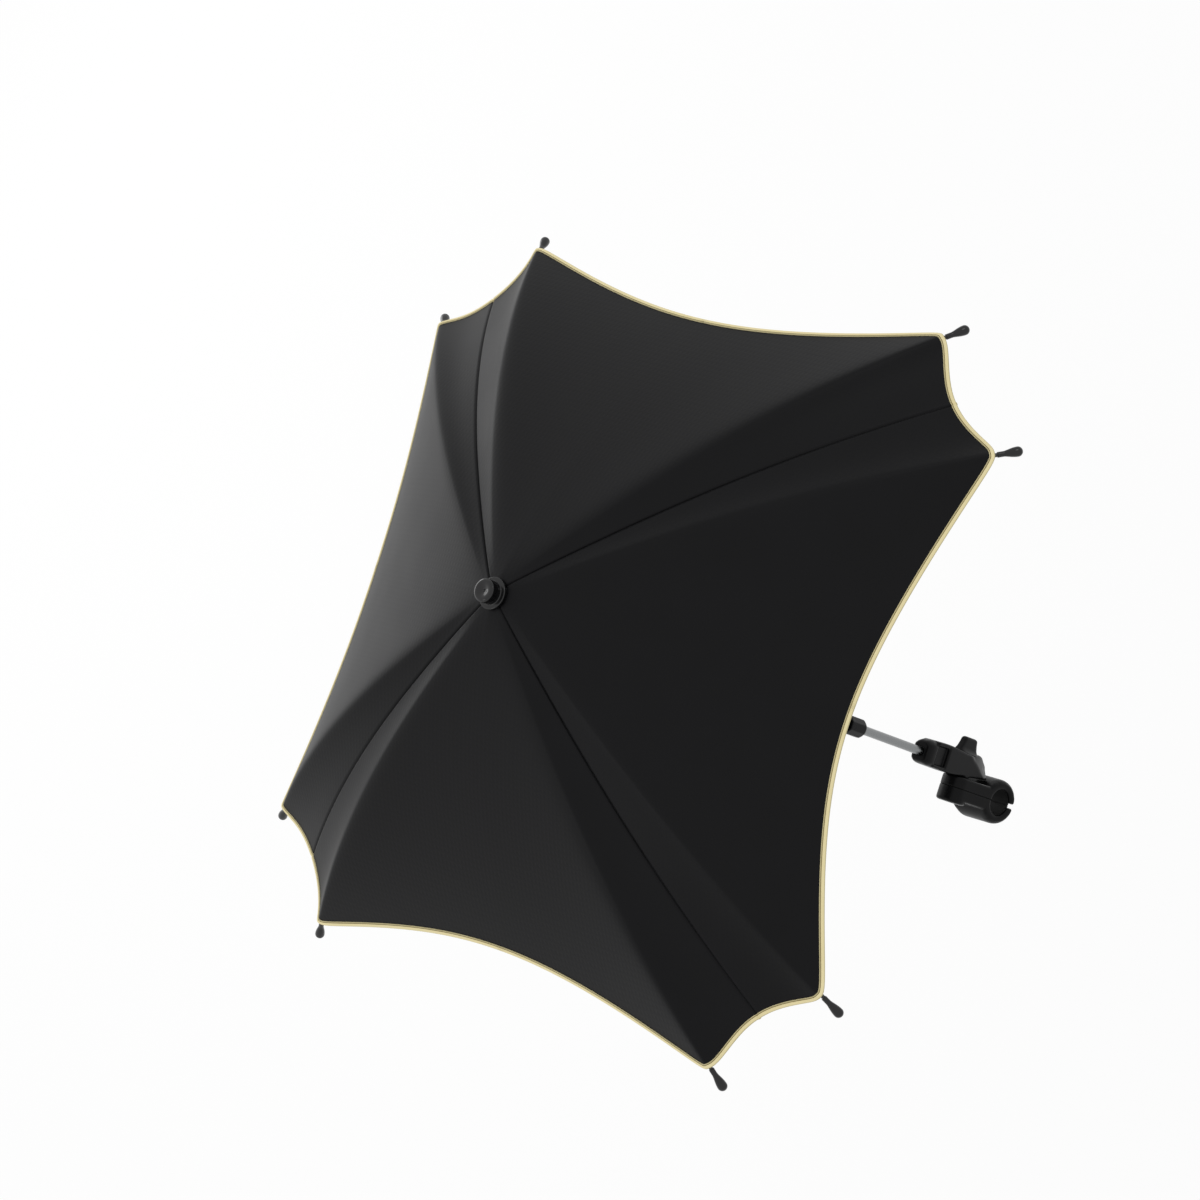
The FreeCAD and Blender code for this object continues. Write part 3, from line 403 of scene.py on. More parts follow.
@dataclass
class RibPlan:
    """Where the ribs start, which way they run, and the bow that each of them has, in millimetres.

    A rib runs out by its span and down by its fall, and its middle stands off the straight line by its
    bow. The cloth lies above the wire, and higher within the crown's share of the span.
    """

    span: float = 357.378
    fall: float = 160.5
    bow: float = 26.0
    cloth_height: float = 3.6
    crown_lift: float = 3.7
    crown_share: float = 0.35
    foot: np.ndarray = field(init=False)
    outward: np.ndarray = field(init=False)
    sideways: np.ndarray = field(init=False)
    radius: float = field(init=False)
    centre: tuple[float, float] = field(init=False)

    def __post_init__(self) -> None:
        """Read the hinges from the frame and work out the circle of the bow."""
        hinges = {joint["name"]: joint for joint in frame["joints"]}
        ribs = [hinges[f"rib_hinge_{k}"] for k in range(1, RIB_COUNT + 1)]
        axes = np.array([rib["axis"] for rib in ribs])
        flat = np.zeros(RIB_COUNT)
        self.foot = np.array([rib["pos_m"] for rib in ribs]) / MM
        self.outward = np.stack([axes[:, 1], -axes[:, 0], flat], axis=1)
        self.sideways = np.stack([axes[:, 0], axes[:, 1], flat], axis=1)
        chord = math.hypot(self.span, self.fall)
        self.radius = chord ** 2 / 8.0 / self.bow + self.bow / 2.0
        back = self.radius - self.bow
        self.centre = (self.span / 2.0 - self.fall / chord * back,
                       -self.fall / 2.0 - self.span / chord * back)

    def height(self, x: np.ndarray, off: float) -> np.ndarray:
        """Give the height of the bow, a circle's arc, at plan distance x and set off from it outwards."""
        return self.centre[1] + np.sqrt((self.radius + off) ** 2 - (x - self.centre[0]) ** 2)

    def steepness(self, share: np.ndarray) -> np.ndarray:
        """Give how steeply the bow falls at a share of its span."""
        x = self.span * np.maximum(share, 0.0)
        return (x - self.centre[0]) / (self.height(x, 0.0) - self.centre[1])

    def cloth_line(self, rib: int, share: np.ndarray) -> np.ndarray:
        """Give points of the cloth over a rib: the bow, set off outwards, and lifted towards the crown.

        Args:
            rib: the rib's number, from nought.
            share: shares of the plan length, as an array.

        Returns:
            Points in millimetres, with the shape of share and three numbers each.
        """
        x = self.span * share
        lift = self.crown_lift * np.maximum(0.0, 1.0 - np.maximum(share, 0.0) / self.crown_share) ** 2
        rise = self.height(np.maximum(x, 0.0), self.cloth_height) + lift
        return self.foot[rib] + x[..., None] * self.outward[rib] + rise[..., None] * UPWARDS


class Side(Enum):
    """The two kinds of gore beside a rib."""

    CORNER = "corner"
    WIDE = "wide"


@dataclass(frozen=True)
class Gore:
    """The cut of one kind of gore, between two ribs that stand twice the half angle apart.

    The tip gap is from rib end to rib end, in millimetres. The scallop is how deep the edge is cut, and the
    skew how far the cut leans to one rib, as shares of the span. The sag, in millimetres, grows outwards by
    the power called gather, with a hollow added half way, and fullness is the power that rounds it across.
    Fold is how much of it is a straight fold at the crown, and seam is the depth of the seam's groove.
    """

    half_angle: float
    tip_gap: float
    gather: float
    fullness: float
    scallop: float = 0.0
    skew: float = 0.0
    sag: float = 0.0
    hollow: float = 0.0
    fold: float = 0.0
    seam: float = 0.0

    @property
    def lean(self) -> float:
        """Give the tangent of the gore's half angle."""
        return math.tan(math.radians(self.half_angle))

    @property
    def square(self) -> float:
        """Give the cosine of the gore's half angle."""
        return math.cos(math.radians(self.half_angle))

    def pull(self, span: float) -> float:
        """Give the slope that turns the scallop square to the rib at its corner."""
        return self.lean + 4.0 * self.scallop * span / (self.tip_gap * self.square)


@dataclass
class CanopyCloth:
    """The black cloth, one sector per rib from a corner seam over the rib to the middle of a side.

    Lengths are in millimetres. Start and rib_edge are shares of the rib's span. Folded_width, the share of a
    sector's width meant for the folded cloth, is not used. The corner round turns the edge at a rib, the
    ridge and crown rounds flatten the cloth over it, and settle is how far the cloth then sinks onto the
    wire.
    """

    ribs: RibPlan
    corner: Gore = Gore(half_angle=8.4, tip_gap=114.4, gather=2.0, fullness=3.2, scallop=0.050, sag=12.5,
                        hollow=0.7, fold=0.6, seam=1.4)
    wide: Gore = Gore(half_angle=36.6, tip_gap=436.0, gather=1.3, fullness=2.4)
    # The wide gores differ: how deep the panels towards +X, +Y, -X and -Y are scalloped, how far they sag,
    # and how far the scallop leans to one rib.
    side_scallops: tuple[float, ...] = (0.138, 0.122, 0.152, 0.123)
    side_sags: tuple[float, ...] = (15.0, 15.0, 19.0, 15.0)
    side_skews: tuple[float, ...] = (0.007, 0.0, 0.0, 0.0)
    start: float = -0.018
    rib_edge: float = 1.0
    corner_round: float = 5.0
    ridge_round: float = 1.2
    crown_round: float = 2.6
    settle: float = 0.6
    seam_width: float = 0.8
    thickness: float = 0.5
    corner_columns: int = 26
    wide_columns: int = 46
    wide_crowding: float = 1.9
    rows: int = 80
    folded_width: float = 0.4

    def panel(self, rib: int) -> int:
        """Give the number, from nought, of the panel that a rib carries."""
        return (rib + 1) // 2 % PANEL_COUNT

    def partner(self, rib: int, side: Side) -> int:
        """Give the number of the rib across the gore on one side of a rib."""
        step = 1 if (rib % 2 == 0) == (side is Side.CORNER) else -1
        return (rib + step) % RIB_COUNT

    def cut(self, rib: int, side: Side) -> Gore:
        """Give the cut of the gore on one side of a rib.

        Args:
            rib: the rib's number, from nought.
            side: which side of the rib.

        Returns:
            The corner gore, or the wide gore with the measures of its own panel.
        """
        if side is Side.CORNER:
            return self.corner
        panel = self.panel(rib)
        skew = self.side_skews[panel] * (1.0 if rib % 2 == 0 else -1.0)
        return replace(self.wide, scallop=self.side_scallops[panel], sag=self.side_sags[panel], skew=skew)

    def edge_share(self, gore: Gore, across: np.ndarray) -> np.ndarray:
        """Give where the scalloped edge cuts the gore.

        It is a parabola that a sine wave leans to one rib, turned square at the ribs by a hyperbola.

        Args:
            gore: the cut of the gore.
            across: shares across the gore, nought at the rib.

        Returns:
            Shares of the rib's span.
        """
        pull = gore.pull(self.ribs.span)
        inward = np.minimum(across, 1.0 - across)
        aside = inward * gore.tip_gap * gore.square
        turn = pull * (np.hypot(aside, self.corner_round / pull) - aside) / self.ribs.span
        lean = gore.skew * np.sin(2.0 * math.pi * across)
        return self.rib_edge - gore.scallop * 4.0 * inward * (1.0 - inward) + lean - turn

    def gore_points(self, rib: int, side: Side, across: np.ndarray, down: np.ndarray) -> np.ndarray:
        """Give cloth points beside a rib.

        A point lies on the straight line between the cloth lines of the two ribs, less the sag, the ridge
        and the groove. Outwards, the sag swells by a power plus a parabola. Across, it is a straight fold,
        which fades with the cube of the way out, mixed with a curve that a power rounds. The ridge is a
        hyperbola whose slope cancels the fall to the side at the rib itself, and the groove is a bell curve
        beside the seam.

        Args:
            rib: the rib's number, from nought.
            side: which side of the rib.
            across: shares across the gore, as an array of columns.
            down: shares from crown to edge, as an array of rows.

        Returns:
            Points in millimetres, rows by columns by three.
        """
        gore = self.cut(rib, side)
        edge = self.edge_share(gore, across)
        share = self.start + (edge - self.start) * down[:, None]
        own = self.ribs.cloth_line(rib, share)
        other = self.ribs.cloth_line(self.partner(rib, side), share)
        points = own + (other - own) * across[None, :, None]
        width = np.linalg.norm((other - own)[..., :2], axis=-1)
        inward = np.minimum(across, 1.0 - across)[None, :]
        aside = inward * width * gore.square
        open_share = np.clip(share, 0.0, 1.0)
        half_way = 4.0 * open_share * (1.0 - open_share)
        swell = open_share ** gore.gather + gore.hollow * half_way
        near = 2.0 * inward
        fold = gore.fold * (1.0 - open_share ** 3)
        shape = fold * near + (1.0 - fold) * (1.0 - (1.0 - near) ** gore.fullness)
        slope = fold + (1.0 - fold) * gore.fullness
        sag = gore.sag * swell * shape
        sideways_fall = 2.0 * gore.sag * swell * slope / (width * gore.square)
        slant = self.ribs.steepness(share) * gore.lean + sideways_fall
        drop = self.ridge_round + self.crown_round * half_way
        ridge = slant * (np.hypot(aside, drop / slant) - aside) - drop + self.settle
        from_seam = (0.5 * width - inward * width) * gore.square
        groove = gore.seam * np.exp(-(from_seam / self.seam_width) ** 2)
        points[..., 2] -= sag + ridge + groove
        return points

    def sector(self, rib: int) -> tuple[np.ndarray, np.ndarray]:
        """Give one sector's grid and normals, from the corner seam to the middle of the side.

        Columns crowd towards the seam and the rib by a cosine in the corner gore, and towards the rib by a
        power in the wide one. A column beyond each border is worked out too, so that the normals of
        neighbours agree there.

        Args:
            rib: the rib's number, from nought.

        Returns:
            Points in millimetres and unit normals that point up, rows by columns by three.
        """
        down = np.linspace(0.0, 1.0, self.rows)
        turn = np.linspace(0.0, 1.0, self.corner_columns)
        corner = 0.25 * (1.0 - np.cos(math.pi * turn))
        wide = 0.5 * np.linspace(0.0, 1.0, self.wide_columns) ** self.wide_crowding
        corner = np.append(corner, 1.0 - corner[-2])
        wide = np.append(wide, 1.0 - wide[-2])
        left = self.gore_points(rib, Side.CORNER, corner[::-1], down)
        right = self.gore_points(rib, Side.WIDE, wide[1:], down)
        points = np.concatenate([left, right], axis=1)
        normals = np.cross(np.gradient(points, axis=0), np.gradient(points, axis=1))
        normals *= np.sign(normals[..., 2].mean())
        normals /= np.linalg.norm(normals, axis=-1, keepdims=True)
        return points, normals

    def build(self) -> list[bpy.types.Object]:
        """Build the eight sectors as closed sheets, each riding on its rib.

        Returns:
            The sheets, in the order of the ribs.
        """
        cloth = SATIN_CLOTH.material()
        # The rib is the last corner column.
        sheets = []
        for rib in range(RIB_COUNT):
            grid, normals = self.sector(rib)
            top, up = grid[:, 1:-1] * MM, normals[:, 1:-1]
            under = top - up * self.thickness * MM
            points = np.concatenate([top.reshape(-1, 3), under.reshape(-1, 3)])
            turned = np.cross(top[0, 1] - top[0, 0], top[1, 0] - top[0, 0])[2] < 0.0
            faces = sheet_faces(*top.shape[:2], turned)
            sheet = mesh_piece(f"cloth_sector_{rib + 1}", points, faces, f"rib_{rib + 1}", closed=False)
            self.lay_weave(sheet.data, points, rib)
            facing = np.concatenate([up.reshape(-1, 3), -up.reshape(-1, 3)])
            sheet.data.normals_split_custom_set_from_vertices(facing.tolist())
            sheet.data.materials.append(cloth)
            narrow(sheet)
            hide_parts(f"canopy_panel_{self.panel(rib) + 1}")
            sheets.append(sheet)
        return sheets

    def lay_weave(self, mesh: bpy.types.Mesh, points: np.ndarray, rib: int) -> None:
        """Lay the weave square to the panel's outer side, in metres.

        Args:
            mesh: the sector's mesh.
            points: its points in metres.
            rib: the rib's number, from nought.
        """
        quarter = math.pi / 2.0 * self.panel(rib)
        run = np.array((math.cos(quarter), math.sin(quarter), 0.0))
        cross = np.array((-run[1], run[0], 0.0))
        lay_uv(mesh, "weave", np.stack([points @ cross, points @ run], axis=1))


def narrow(piece: bpy.types.Object) -> None:
    """Give a soft piece its own copy of its mesh.

    Args:
        piece: the cloth or binding.
    """
    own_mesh(piece)


@dataclass
class CrownLining:
    """The strip of cloth sewn under each rib's sector at the crown, which closes it when the ribs fold.

    Lengths are in millimetres. The strip is as wide as the folded ribs stand apart, with a little to spare,
    and tapers on its wide side beyond the wide length. It hangs under the cloth, and falls to each side.
    Keep is the share of its width that it has when folded.
    """

    cloth: CanopyCloth
    length: float = 115.0
    wide_length: float = 48.0
    inner: float = 3.0
    hinge_radius: float = 13.0
    folded_spread: float = 0.16
    spare: float = 1.12
    keep: float = 0.65
    under: float = 1.3
    wide_fall: float = 0.10
    corner_fall: float = 0.60
    thickness: float = 0.4
    rows: int = 36
    columns: int = 25

    def half_gap(self, rib: int, side: Side) -> float:
        """Give how far the middle of the gore lies from a rib at its hinge, square to the rib.

        It is half the gap between the two hinges over the cosine of the gore's half angle, or the radius of
        the hinges' circle times the tangent of that angle, whichever is more.

        Args:
            rib: the rib's number, from nought.
            side: which side of the rib.

        Returns:
            The distance in millimetres.
        """
        feet = self.cloth.ribs.foot
        gore = self.cloth.cut(rib, side)
        apart = float(np.linalg.norm(feet[rib] - feet[self.cloth.partner(rib, side)]))
        return max(0.5 * apart / gore.square, self.hinge_radius * gore.lean)

    def build(self) -> list[bpy.types.Object]:
        """Build the eight strips, each a little below the cloth of its sector.

        A plan point at x along the rib and y aside lies under the chord that leaves the rib at x plus y
        times the tangent of the gore's half angle. The strip takes the cloth's height there, less a fall
        that grows aside.

        Returns:
            The strips, in the order of the ribs.
        """
        finish = SATIN_CLOTH.material()
        ribs = self.cloth.ribs
        along = np.linspace(-self.inner, self.length, self.rows)[:, None]
        aside = np.linspace(-1.0, 1.0, self.columns)[None, :]
        to_wide = aside > 0.0
        lean = np.where(to_wide, self.cloth.wide.lean, self.cloth.corner.lean)
        fall = np.where(to_wide, self.wide_fall, self.corner_fall)
        taper = np.clip((self.length - along) / (self.length - self.wide_length), 0.0, 1.0) ** 2
        kept = np.where(to_wide, taper, 1.0)
        strips = []
        for rib in range(RIB_COUNT):
            half_gap = np.where(to_wide, self.half_gap(rib, Side.WIDE), self.half_gap(rib, Side.CORNER))
            apart = half_gap + self.folded_spread * np.maximum(along, 0.0) * lean
            reach = aside * apart * kept * self.spare / self.keep
            share = (along + np.abs(reach) * lean) / ribs.span
            step = 1.0 if self.cloth.partner(rib, Side.WIDE) == (rib + 1) % RIB_COUNT else -1.0
            to_side = step * ribs.sideways[rib]
            top = ribs.foot[rib] + along[..., None] * ribs.outward[rib] + reach[..., None] * to_side
            top[..., 2] = ribs.cloth_line(rib, share)[..., 2] - self.under - fall * np.abs(reach)
            shell = np.concatenate([top, (top - self.thickness * UPWARDS)[:, ::-1]], axis=1)
            faces = tube_faces(*shell.shape[:2])
            strip = mesh_piece(f"crown_lining_{rib + 1}", shell * MM, faces, f"rib_{rib + 1}")
            strip.data.materials.append(finish)
            self.cloth.lay_weave(strip.data, shell.reshape(-1, 3) * MM, rib)
            narrow(strip)
            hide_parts(f"canopy_panel_{self.cloth.panel(rib) + 1}")
            strips.append(strip)
        return strips


@dataclass
class EdgeBinding:
    """The folded gold ribbon round the scalloped edge, with its pale lip, stitched groove and rounded outer
    edge; the groove and the outer edge carry painted shade.
    """

    cloth: CanopyCloth
    # (outwards, upwards) in millimetres round the ribbon's section, from the lip over the band and back
    # below, and the mean step from point to point.
    section: tuple[tuple[float, float], ...] = (
        (-2.7, 0.2), (-2.6, 0.65), (-2.35, 0.85), (-2.05, 0.7), (-1.85, 0.35), (-1.65, 0.35), (-1.45, 0.75),
        (-0.9, 1.15), (0.0, 1.35), (0.9, 1.2), (1.5, 0.75), (1.75, 0.0), (1.5, -0.7), (0.9, -1.05),
        (0.0, -1.15), (-1.2, -1.05), (-2.2, -0.9), (-2.7, -0.7))
    section_step: float = 0.7
    # Faces round the section that take the lip's duller gold and the groove's brown with painted shade, and
    # the faces of the outer edge, which take the duller gold as painted shade.
    lip_strips: int = 4
    groove_strips: int = 2
    outer_strips: tuple[int, int] = (9, 14)

    def build(self) -> list[bpy.types.Object]:
        """Carry the section along each sector's edge, square to the edge and the cloth.

        A point lies at the edge plus its outwards measure along the cloth and its upwards measure off it.

        Returns:
            The eight lengths of binding.
        """
        finishes = [finish.material() for finish in (GOLD_RIBBON, EDGE_TONE_AND_PAINTED_SHADE, GROOVE_THREAD_AND_PAINTED_SHADE)]
        # The second finish is the duller gold, which is painted shade on the outer edge, and the third the
        # groove's brown with painted shade.
        band, turned, groove_shade = range(len(finishes))
        section = np.array(self.section)
        strips = np.full(len(section), band)
        # The lip takes the duller gold, the groove its brown with painted shade, and the outer rounded edge
        # the duller gold as painted shade.
        strips[:self.lip_strips] = turned
        strips[self.lip_strips:self.lip_strips + self.groove_strips] = groove_shade
        strips[slice(*self.outer_strips)] = turned
        pieces = []
        for rib in range(RIB_COUNT):
            grid, normals = self.cloth.sector(rib)
            tangent = np.gradient(grid[-1], axis=0)[1:-1]
            edge, up = grid[-1, 1:-1], normals[-1, 1:-1]
            out = np.cross(tangent, up)
            out /= np.linalg.norm(out, axis=1, keepdims=True)
            out *= np.sign((out @ self.cloth.ribs.outward[rib]).mean())
            points = (edge[:, None] + section[None, :, :1] * out[:, None]
                      + section[None, :, 1:] * up[:, None])
            count, around = points.shape[:2]
            faces = tube_faces(count, around)
            piece = mesh_piece(f"edge_binding_{rib + 1}", points * MM, faces, f"rib_{rib + 1}")
            for finish in finishes:
                piece.data.materials.append(finish)
            kinds = np.append(np.tile(strips, count - 1), (band, band)).astype(np.int32)
            piece.data.polygons.foreach_set("material_index", kinds)
            run = np.append(0.0, np.cumsum(np.linalg.norm(np.diff(edge, axis=0), axis=1))) * MM
            round_it = np.arange(around) * self.section_step * MM
            plan = np.stack([np.repeat(run, around), np.tile(round_it, count)], axis=1)
            lay_uv(piece.data, "ribbon", plan)
            narrow(piece)
            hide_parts("edge_piping")
            pieces.append(piece)
        return pieces


@dataclass
class RibTips:
    """The club-shaped tips on the rib ends, in millimetres."""

    ribs: RibPlan
    neck: float = 2.2
    ball: float = 4.0
    reach: float = 11.0
    tail: float = 5.0
    swell_power: float = 1.5
    swell_points: int = 24
    ball_points: int = 14
    around: int = 40

    def build(self) -> list[bpy.types.Object]:
        """Turn the eight tips: a smooth swell from neck to ball, then the ball's own circle.

        At a share g of the way, the swell is g to the power p times (p + 1 - p·g), which ends level.

        Returns:
            The tips, in the order of the ribs.
        """
        finish = POLISHED_ABS.material()
        swell = np.linspace(-self.tail, self.reach, self.swell_points)
        grow = np.clip(swell / self.reach, 0.0, 1.0)
        power = self.swell_power
        radius = self.neck + (self.ball - self.neck) * grow ** power * (power + 1.0 - power * grow)
        turn = np.linspace(0.0, math.pi / 2.0, self.ball_points)[1:]
        distance = np.concatenate([[-self.tail], swell, self.reach + self.ball * np.sin(turn)])
        radius = np.concatenate([[0.0], radius, self.ball * np.cos(turn)])
        profile = np.stack([distance, np.maximum(radius, 0.0)], axis=1) * MM
        fall = math.atan(float(self.ribs.steepness(np.array(1.0))))
        tips = []
        for rib in range(RIB_COUNT):
            end = self.ribs.foot[rib] + self.ribs.span * self.ribs.outward[rib] - self.ribs.fall * UPWARDS
            along = math.cos(fall) * self.ribs.outward[rib] - math.sin(fall) * UPWARDS
            tip = revolved(f"rib_end_{rib + 1}", profile, end * MM, along, f"rib_{rib + 1}", self.around)
            tip.data.materials.append(finish)
            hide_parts(f"rib_tip_{rib + 1}")
            tips.append(tip)
        return tips


def soften(piece: bpy.types.Object, width: float, angle: float, segments: int = 3) -> None:
    """Round the sharp edges of a piece.

    Args:
        piece: the piece.
        width: the rounding's width in millimetres.
        angle: the least angle, in degrees, at which an edge is sharp.
        segments: faces across the rounding.
    """
    bevel = piece.modifiers.new("rounded_edges", "BEVEL")
    bevel.width = width * MM
    bevel.segments = segments
    bevel.limit_method = "ANGLE"
    bevel.angle_limit = math.radians(angle)
    bevel.use_clamp_overlap = True
    bevel.harden_normals = True


@dataclass
class Ferrule:
    """The glossy cap on the crown: a base disc, a drum and a dished top with a dimple, in millimetres."""

    stem_radius: float = 10.5
    stem: float = 7.4
    base_radius: float = 13.0
    base_height: float = 3.2
    shoulder: float = 0.5
    drum_radius: float = 9.6
    height: float = 14.0
    rim_height: float = 1.2
    rim_inset: float = 1.6
    dish_radius: float = 7.0
    dish_depth: float = 1.8
    dish_points: int = 26
    dimple_radius: float = 1.5
    dimple_depth: float = 1.1
    edge_round: float = 0.7
    sharp_angle: float = 25.0
    around: int = 96

    def build(self) -> bpy.types.Object:
        """Turn the ferrule about the shaft; the dish and the dimple are cosine bowls.

        Returns:
            The ferrule.
        """
        low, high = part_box("ferrule_cap")
        centre = np.array(((low.x + high.x) / 2.0, (low.y + high.y) / 2.0, low.z))
        foot, top = self.stem, self.stem + self.height
        base = foot + self.base_height
        bowl = np.linspace(self.dish_radius, 0.0, self.dish_points)
        dish = self.dish_depth * 0.5 * (1.0 + np.cos(math.pi * bowl / self.dish_radius))
        within = np.minimum(bowl / self.dimple_radius, 1.0)
        dimple = self.dimple_depth * 0.5 * (1.0 + np.cos(math.pi * within))
        outline = np.array([(0.0, 0.0), (0.0, self.stem_radius), (foot, self.stem_radius),
                            (foot, self.base_radius), (base, self.base_radius),
                            (base + self.shoulder, self.drum_radius),
                            (top - self.rim_height, self.drum_radius),
                            (top, self.drum_radius - self.rim_inset)])
        profile = np.concatenate([outline, np.stack([top - dish - dimple, bowl], axis=1)]) * MM
        cap = revolved("crown_ferrule", profile, centre, UPWARDS, "canopy", self.around)
        soften(cap, self.edge_round, self.sharp_angle)
        cap.data.materials.append(POLISHED_ABS.material())
        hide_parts("ferrule_cap")
        return cap


@dataclass
class Mouldings:
    """The satin black mouldings and the jaw's liners, cut into even cells and rounded, in millimetres.

    Passes says how often each is rounded, and plump how far it is then filled out. The split is where the
    two halves of the jaw meet, and the rod runs up through the arm and the knuckle. The spans of the bow and
    the heel, and the nose's start, are heights along the shaft.
    """

    cell: float = 0.45
    passes: dict[str, int] = field(default_factory=lambda: {
        "clamp_arm": 24, "upper_jaw": 30, "lower_jaw": 30, "jaw_liner_upper": 2, "jaw_liner_lower": 2,
        "knuckle_lower": 8, "knuckle_upper": 16, "crown_hub": 4, "runner": 5})
    plump: dict[str, float] = field(default_factory=lambda: {
        "clamp_arm": 0.6, "upper_jaw": 1.0, "lower_jaw": 1.0})
    split_half: float = 0.25
    split_fade: float = 1.2
    split_close: float = 0.24
    rod_radius: float = 4.2
    rod_fade: float = 2.2
    bow: float = 1.9
    bow_span: tuple[float, float] = (58.0, 118.0)
    heel: float = 2.6
    heel_span: tuple[float, float] = (14.0, 44.0)
    arm_middle: float = 20.0
    arm_half: float = 11.4
    nose_start: float = 109.0
    nose_length: float = 8.5
    nose_taper: float = 0.17
    ring_half: float = 20.5
    ring_round: float = 6.5
    ring_taper: float = 1.9
    ring_radii: tuple[float, float] = (14.0, 19.4)
    neck_span: tuple[float, float] = (10.0, 16.0)

    def build(self) -> list[bpy.types.Object]:
        """Round a copy of each moulding's solid and dress it.

        Returns:
            The rounded mouldings.
        """
        plastic, rubber = SATIN_PLASTIC.material(), GRIP_RUBBER.material()
        pieces = []
        for node in self.passes:
            piece = self.even_copy(node)
            liner = node.startswith("jaw_liner")
            points = self.shaped(piece.data, node, liner or node.endswith("_jaw"))
            piece.data.vertices.foreach_set("co", (points * MM).ravel())
            shade_smooth(piece.data)
            piece.data.update()
            piece.data.materials.append(rubber if liner else plastic)
            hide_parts(node)
            pieces.append(piece)
        return pieces

    def even_copy(self, node: str) -> bpy.types.Object:
        """Copy a node's solid as a mesh of even square cells.

        Args:
            node: the node's name.

        Returns:
            The copy, riding on the node's body.
        """
        solid = frame["nodes"][node]
        mesh = solid.data.copy()
        mesh.materials.clear()
        close_shell(mesh)
        piece = bpy.data.objects.new(f"{node}_moulding", mesh)
        bpy.context.scene.collection.objects.link(piece)
        cells = piece.modifiers.new("even_cells", "REMESH")
        cells.mode = "VOXEL"
        cells.voxel_size = self.cell * MM
        made = bpy.data.meshes.new_from_object(piece.evaluated_get(bpy.context.evaluated_depsgraph_get()))
        piece.modifiers.clear()
        piece.data = made
        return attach(piece, solid["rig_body"])

    def shaped(self, mesh: bpy.types.Mesh, node: str, in_jaw: bool) -> np.ndarray:
        """Shape a moulding: round it, fill it out, and bend it where its node asks for that.

        Points beside the rod, or in the jaw beside the split, are held. They loosen over a short way.

        Args:
            mesh: the mesh of even cells.
            node: the node's name.
            in_jaw: whether the moulding is one half of the jaw, or its liner.

        Returns:
            The moved points in millimetres.
        """
        points = np.empty(len(mesh.vertices) * 3)
        mesh.vertices.foreach_get("co", points)
        points = points.reshape(-1, 3) / MM
        from_rod = np.hypot(points[:, 0], points[:, 1] - self.arm_middle)
        loose = np.clip((from_rod - self.rod_radius) / self.rod_fade, 0.0, 1.0)
        if in_jaw:
            loose = np.clip((np.abs(points[:, 1]) - self.split_half) / self.split_fade, 0.0, 1.0)
        points = self.rounded(mesh, points, loose, self.passes[node])
        if node in self.plump:
            flush = np.ones(len(points)) if in_jaw else loose
            hold = np.stack([flush, loose, flush], axis=1)
            points = self.filled_out(mesh, points, self.plump[node] * hold)
        if in_jaw:
            points = self.round_ring(points)
        if node == "clamp_arm":
            points = self.bow_arm(points)
        return points

    def rounded(self, mesh: bpy.types.Mesh, points: np.ndarray, loose: np.ndarray,
                passes: int) -> np.ndarray:
        """Round the edges: each pass moves a point half way to its neighbours' mean, as far as it is loose.

        Args:
            mesh: the mesh of even cells.
            points: its points in millimetres.
            loose: the share of the move that each point makes.
            passes: how many times this is done.

        Returns:
            The moved points.
        """
        ends = np.empty(len(mesh.edges) * 2, np.int32)
        mesh.edges.foreach_get("vertices", ends)
        pairs = ends.reshape(-1, 2)
        near, far = np.concatenate([pairs, pairs[:, ::-1]]).T
        degree = np.bincount(near, minlength=len(points))[:, None]
        for _ in range(passes):
            sums = [np.bincount(near, points[far, axis], len(points)) for axis in range(3)]
            points = points + 0.5 * loose[:, None] * (np.stack(sums, axis=1) / degree - points)
        return points

    def filled_out(self, mesh: bpy.types.Mesh, points: np.ndarray, amount: np.ndarray) -> np.ndarray:
        """Push the points out along their normals, to give back what the rounding took.

        Args:
            mesh: the mesh of even cells.
            points: its points in millimetres.
            amount: how far each point goes along x, y and z, in millimetres.

        Returns:
            The moved points.
        """
        mesh.vertices.foreach_set("co", (points * MM).ravel())
        mesh.update()
        normals = np.empty(len(points) * 3)
        mesh.vertex_normals.foreach_get("vector", normals)
        return points + amount * normals.reshape(-1, 3)

    def bow_arm(self, points: np.ndarray) -> np.ndarray:
        """Bow the arm's top and its heel up, each by half a sine wave, and draw its nose in by a parabola.

        Args:
            points: the arm's points in millimetres.

        Returns:
            The moved points.
        """
        lift = np.zeros(len(points))
        for rise, (start, end) in ((self.bow, self.bow_span), (self.heel, self.heel_span)):
            lift += rise * np.sin(math.pi * np.clip((points[:, 2] - start) / (end - start), 0.0, 1.0))
        high = np.clip((points[:, 1] - self.arm_middle) / self.arm_half, 0.0, 1.0)
        into_nose = np.clip((points[:, 2] - self.nose_start) / self.nose_length, 0.0, 1.0)
        slim = 1.0 - self.nose_taper * into_nose ** 2
        x = points[:, 0] * slim
        y = self.arm_middle + (points[:, 1] + lift * high - self.arm_middle) * slim
        return np.stack([x, y, points[:, 2]], axis=1)

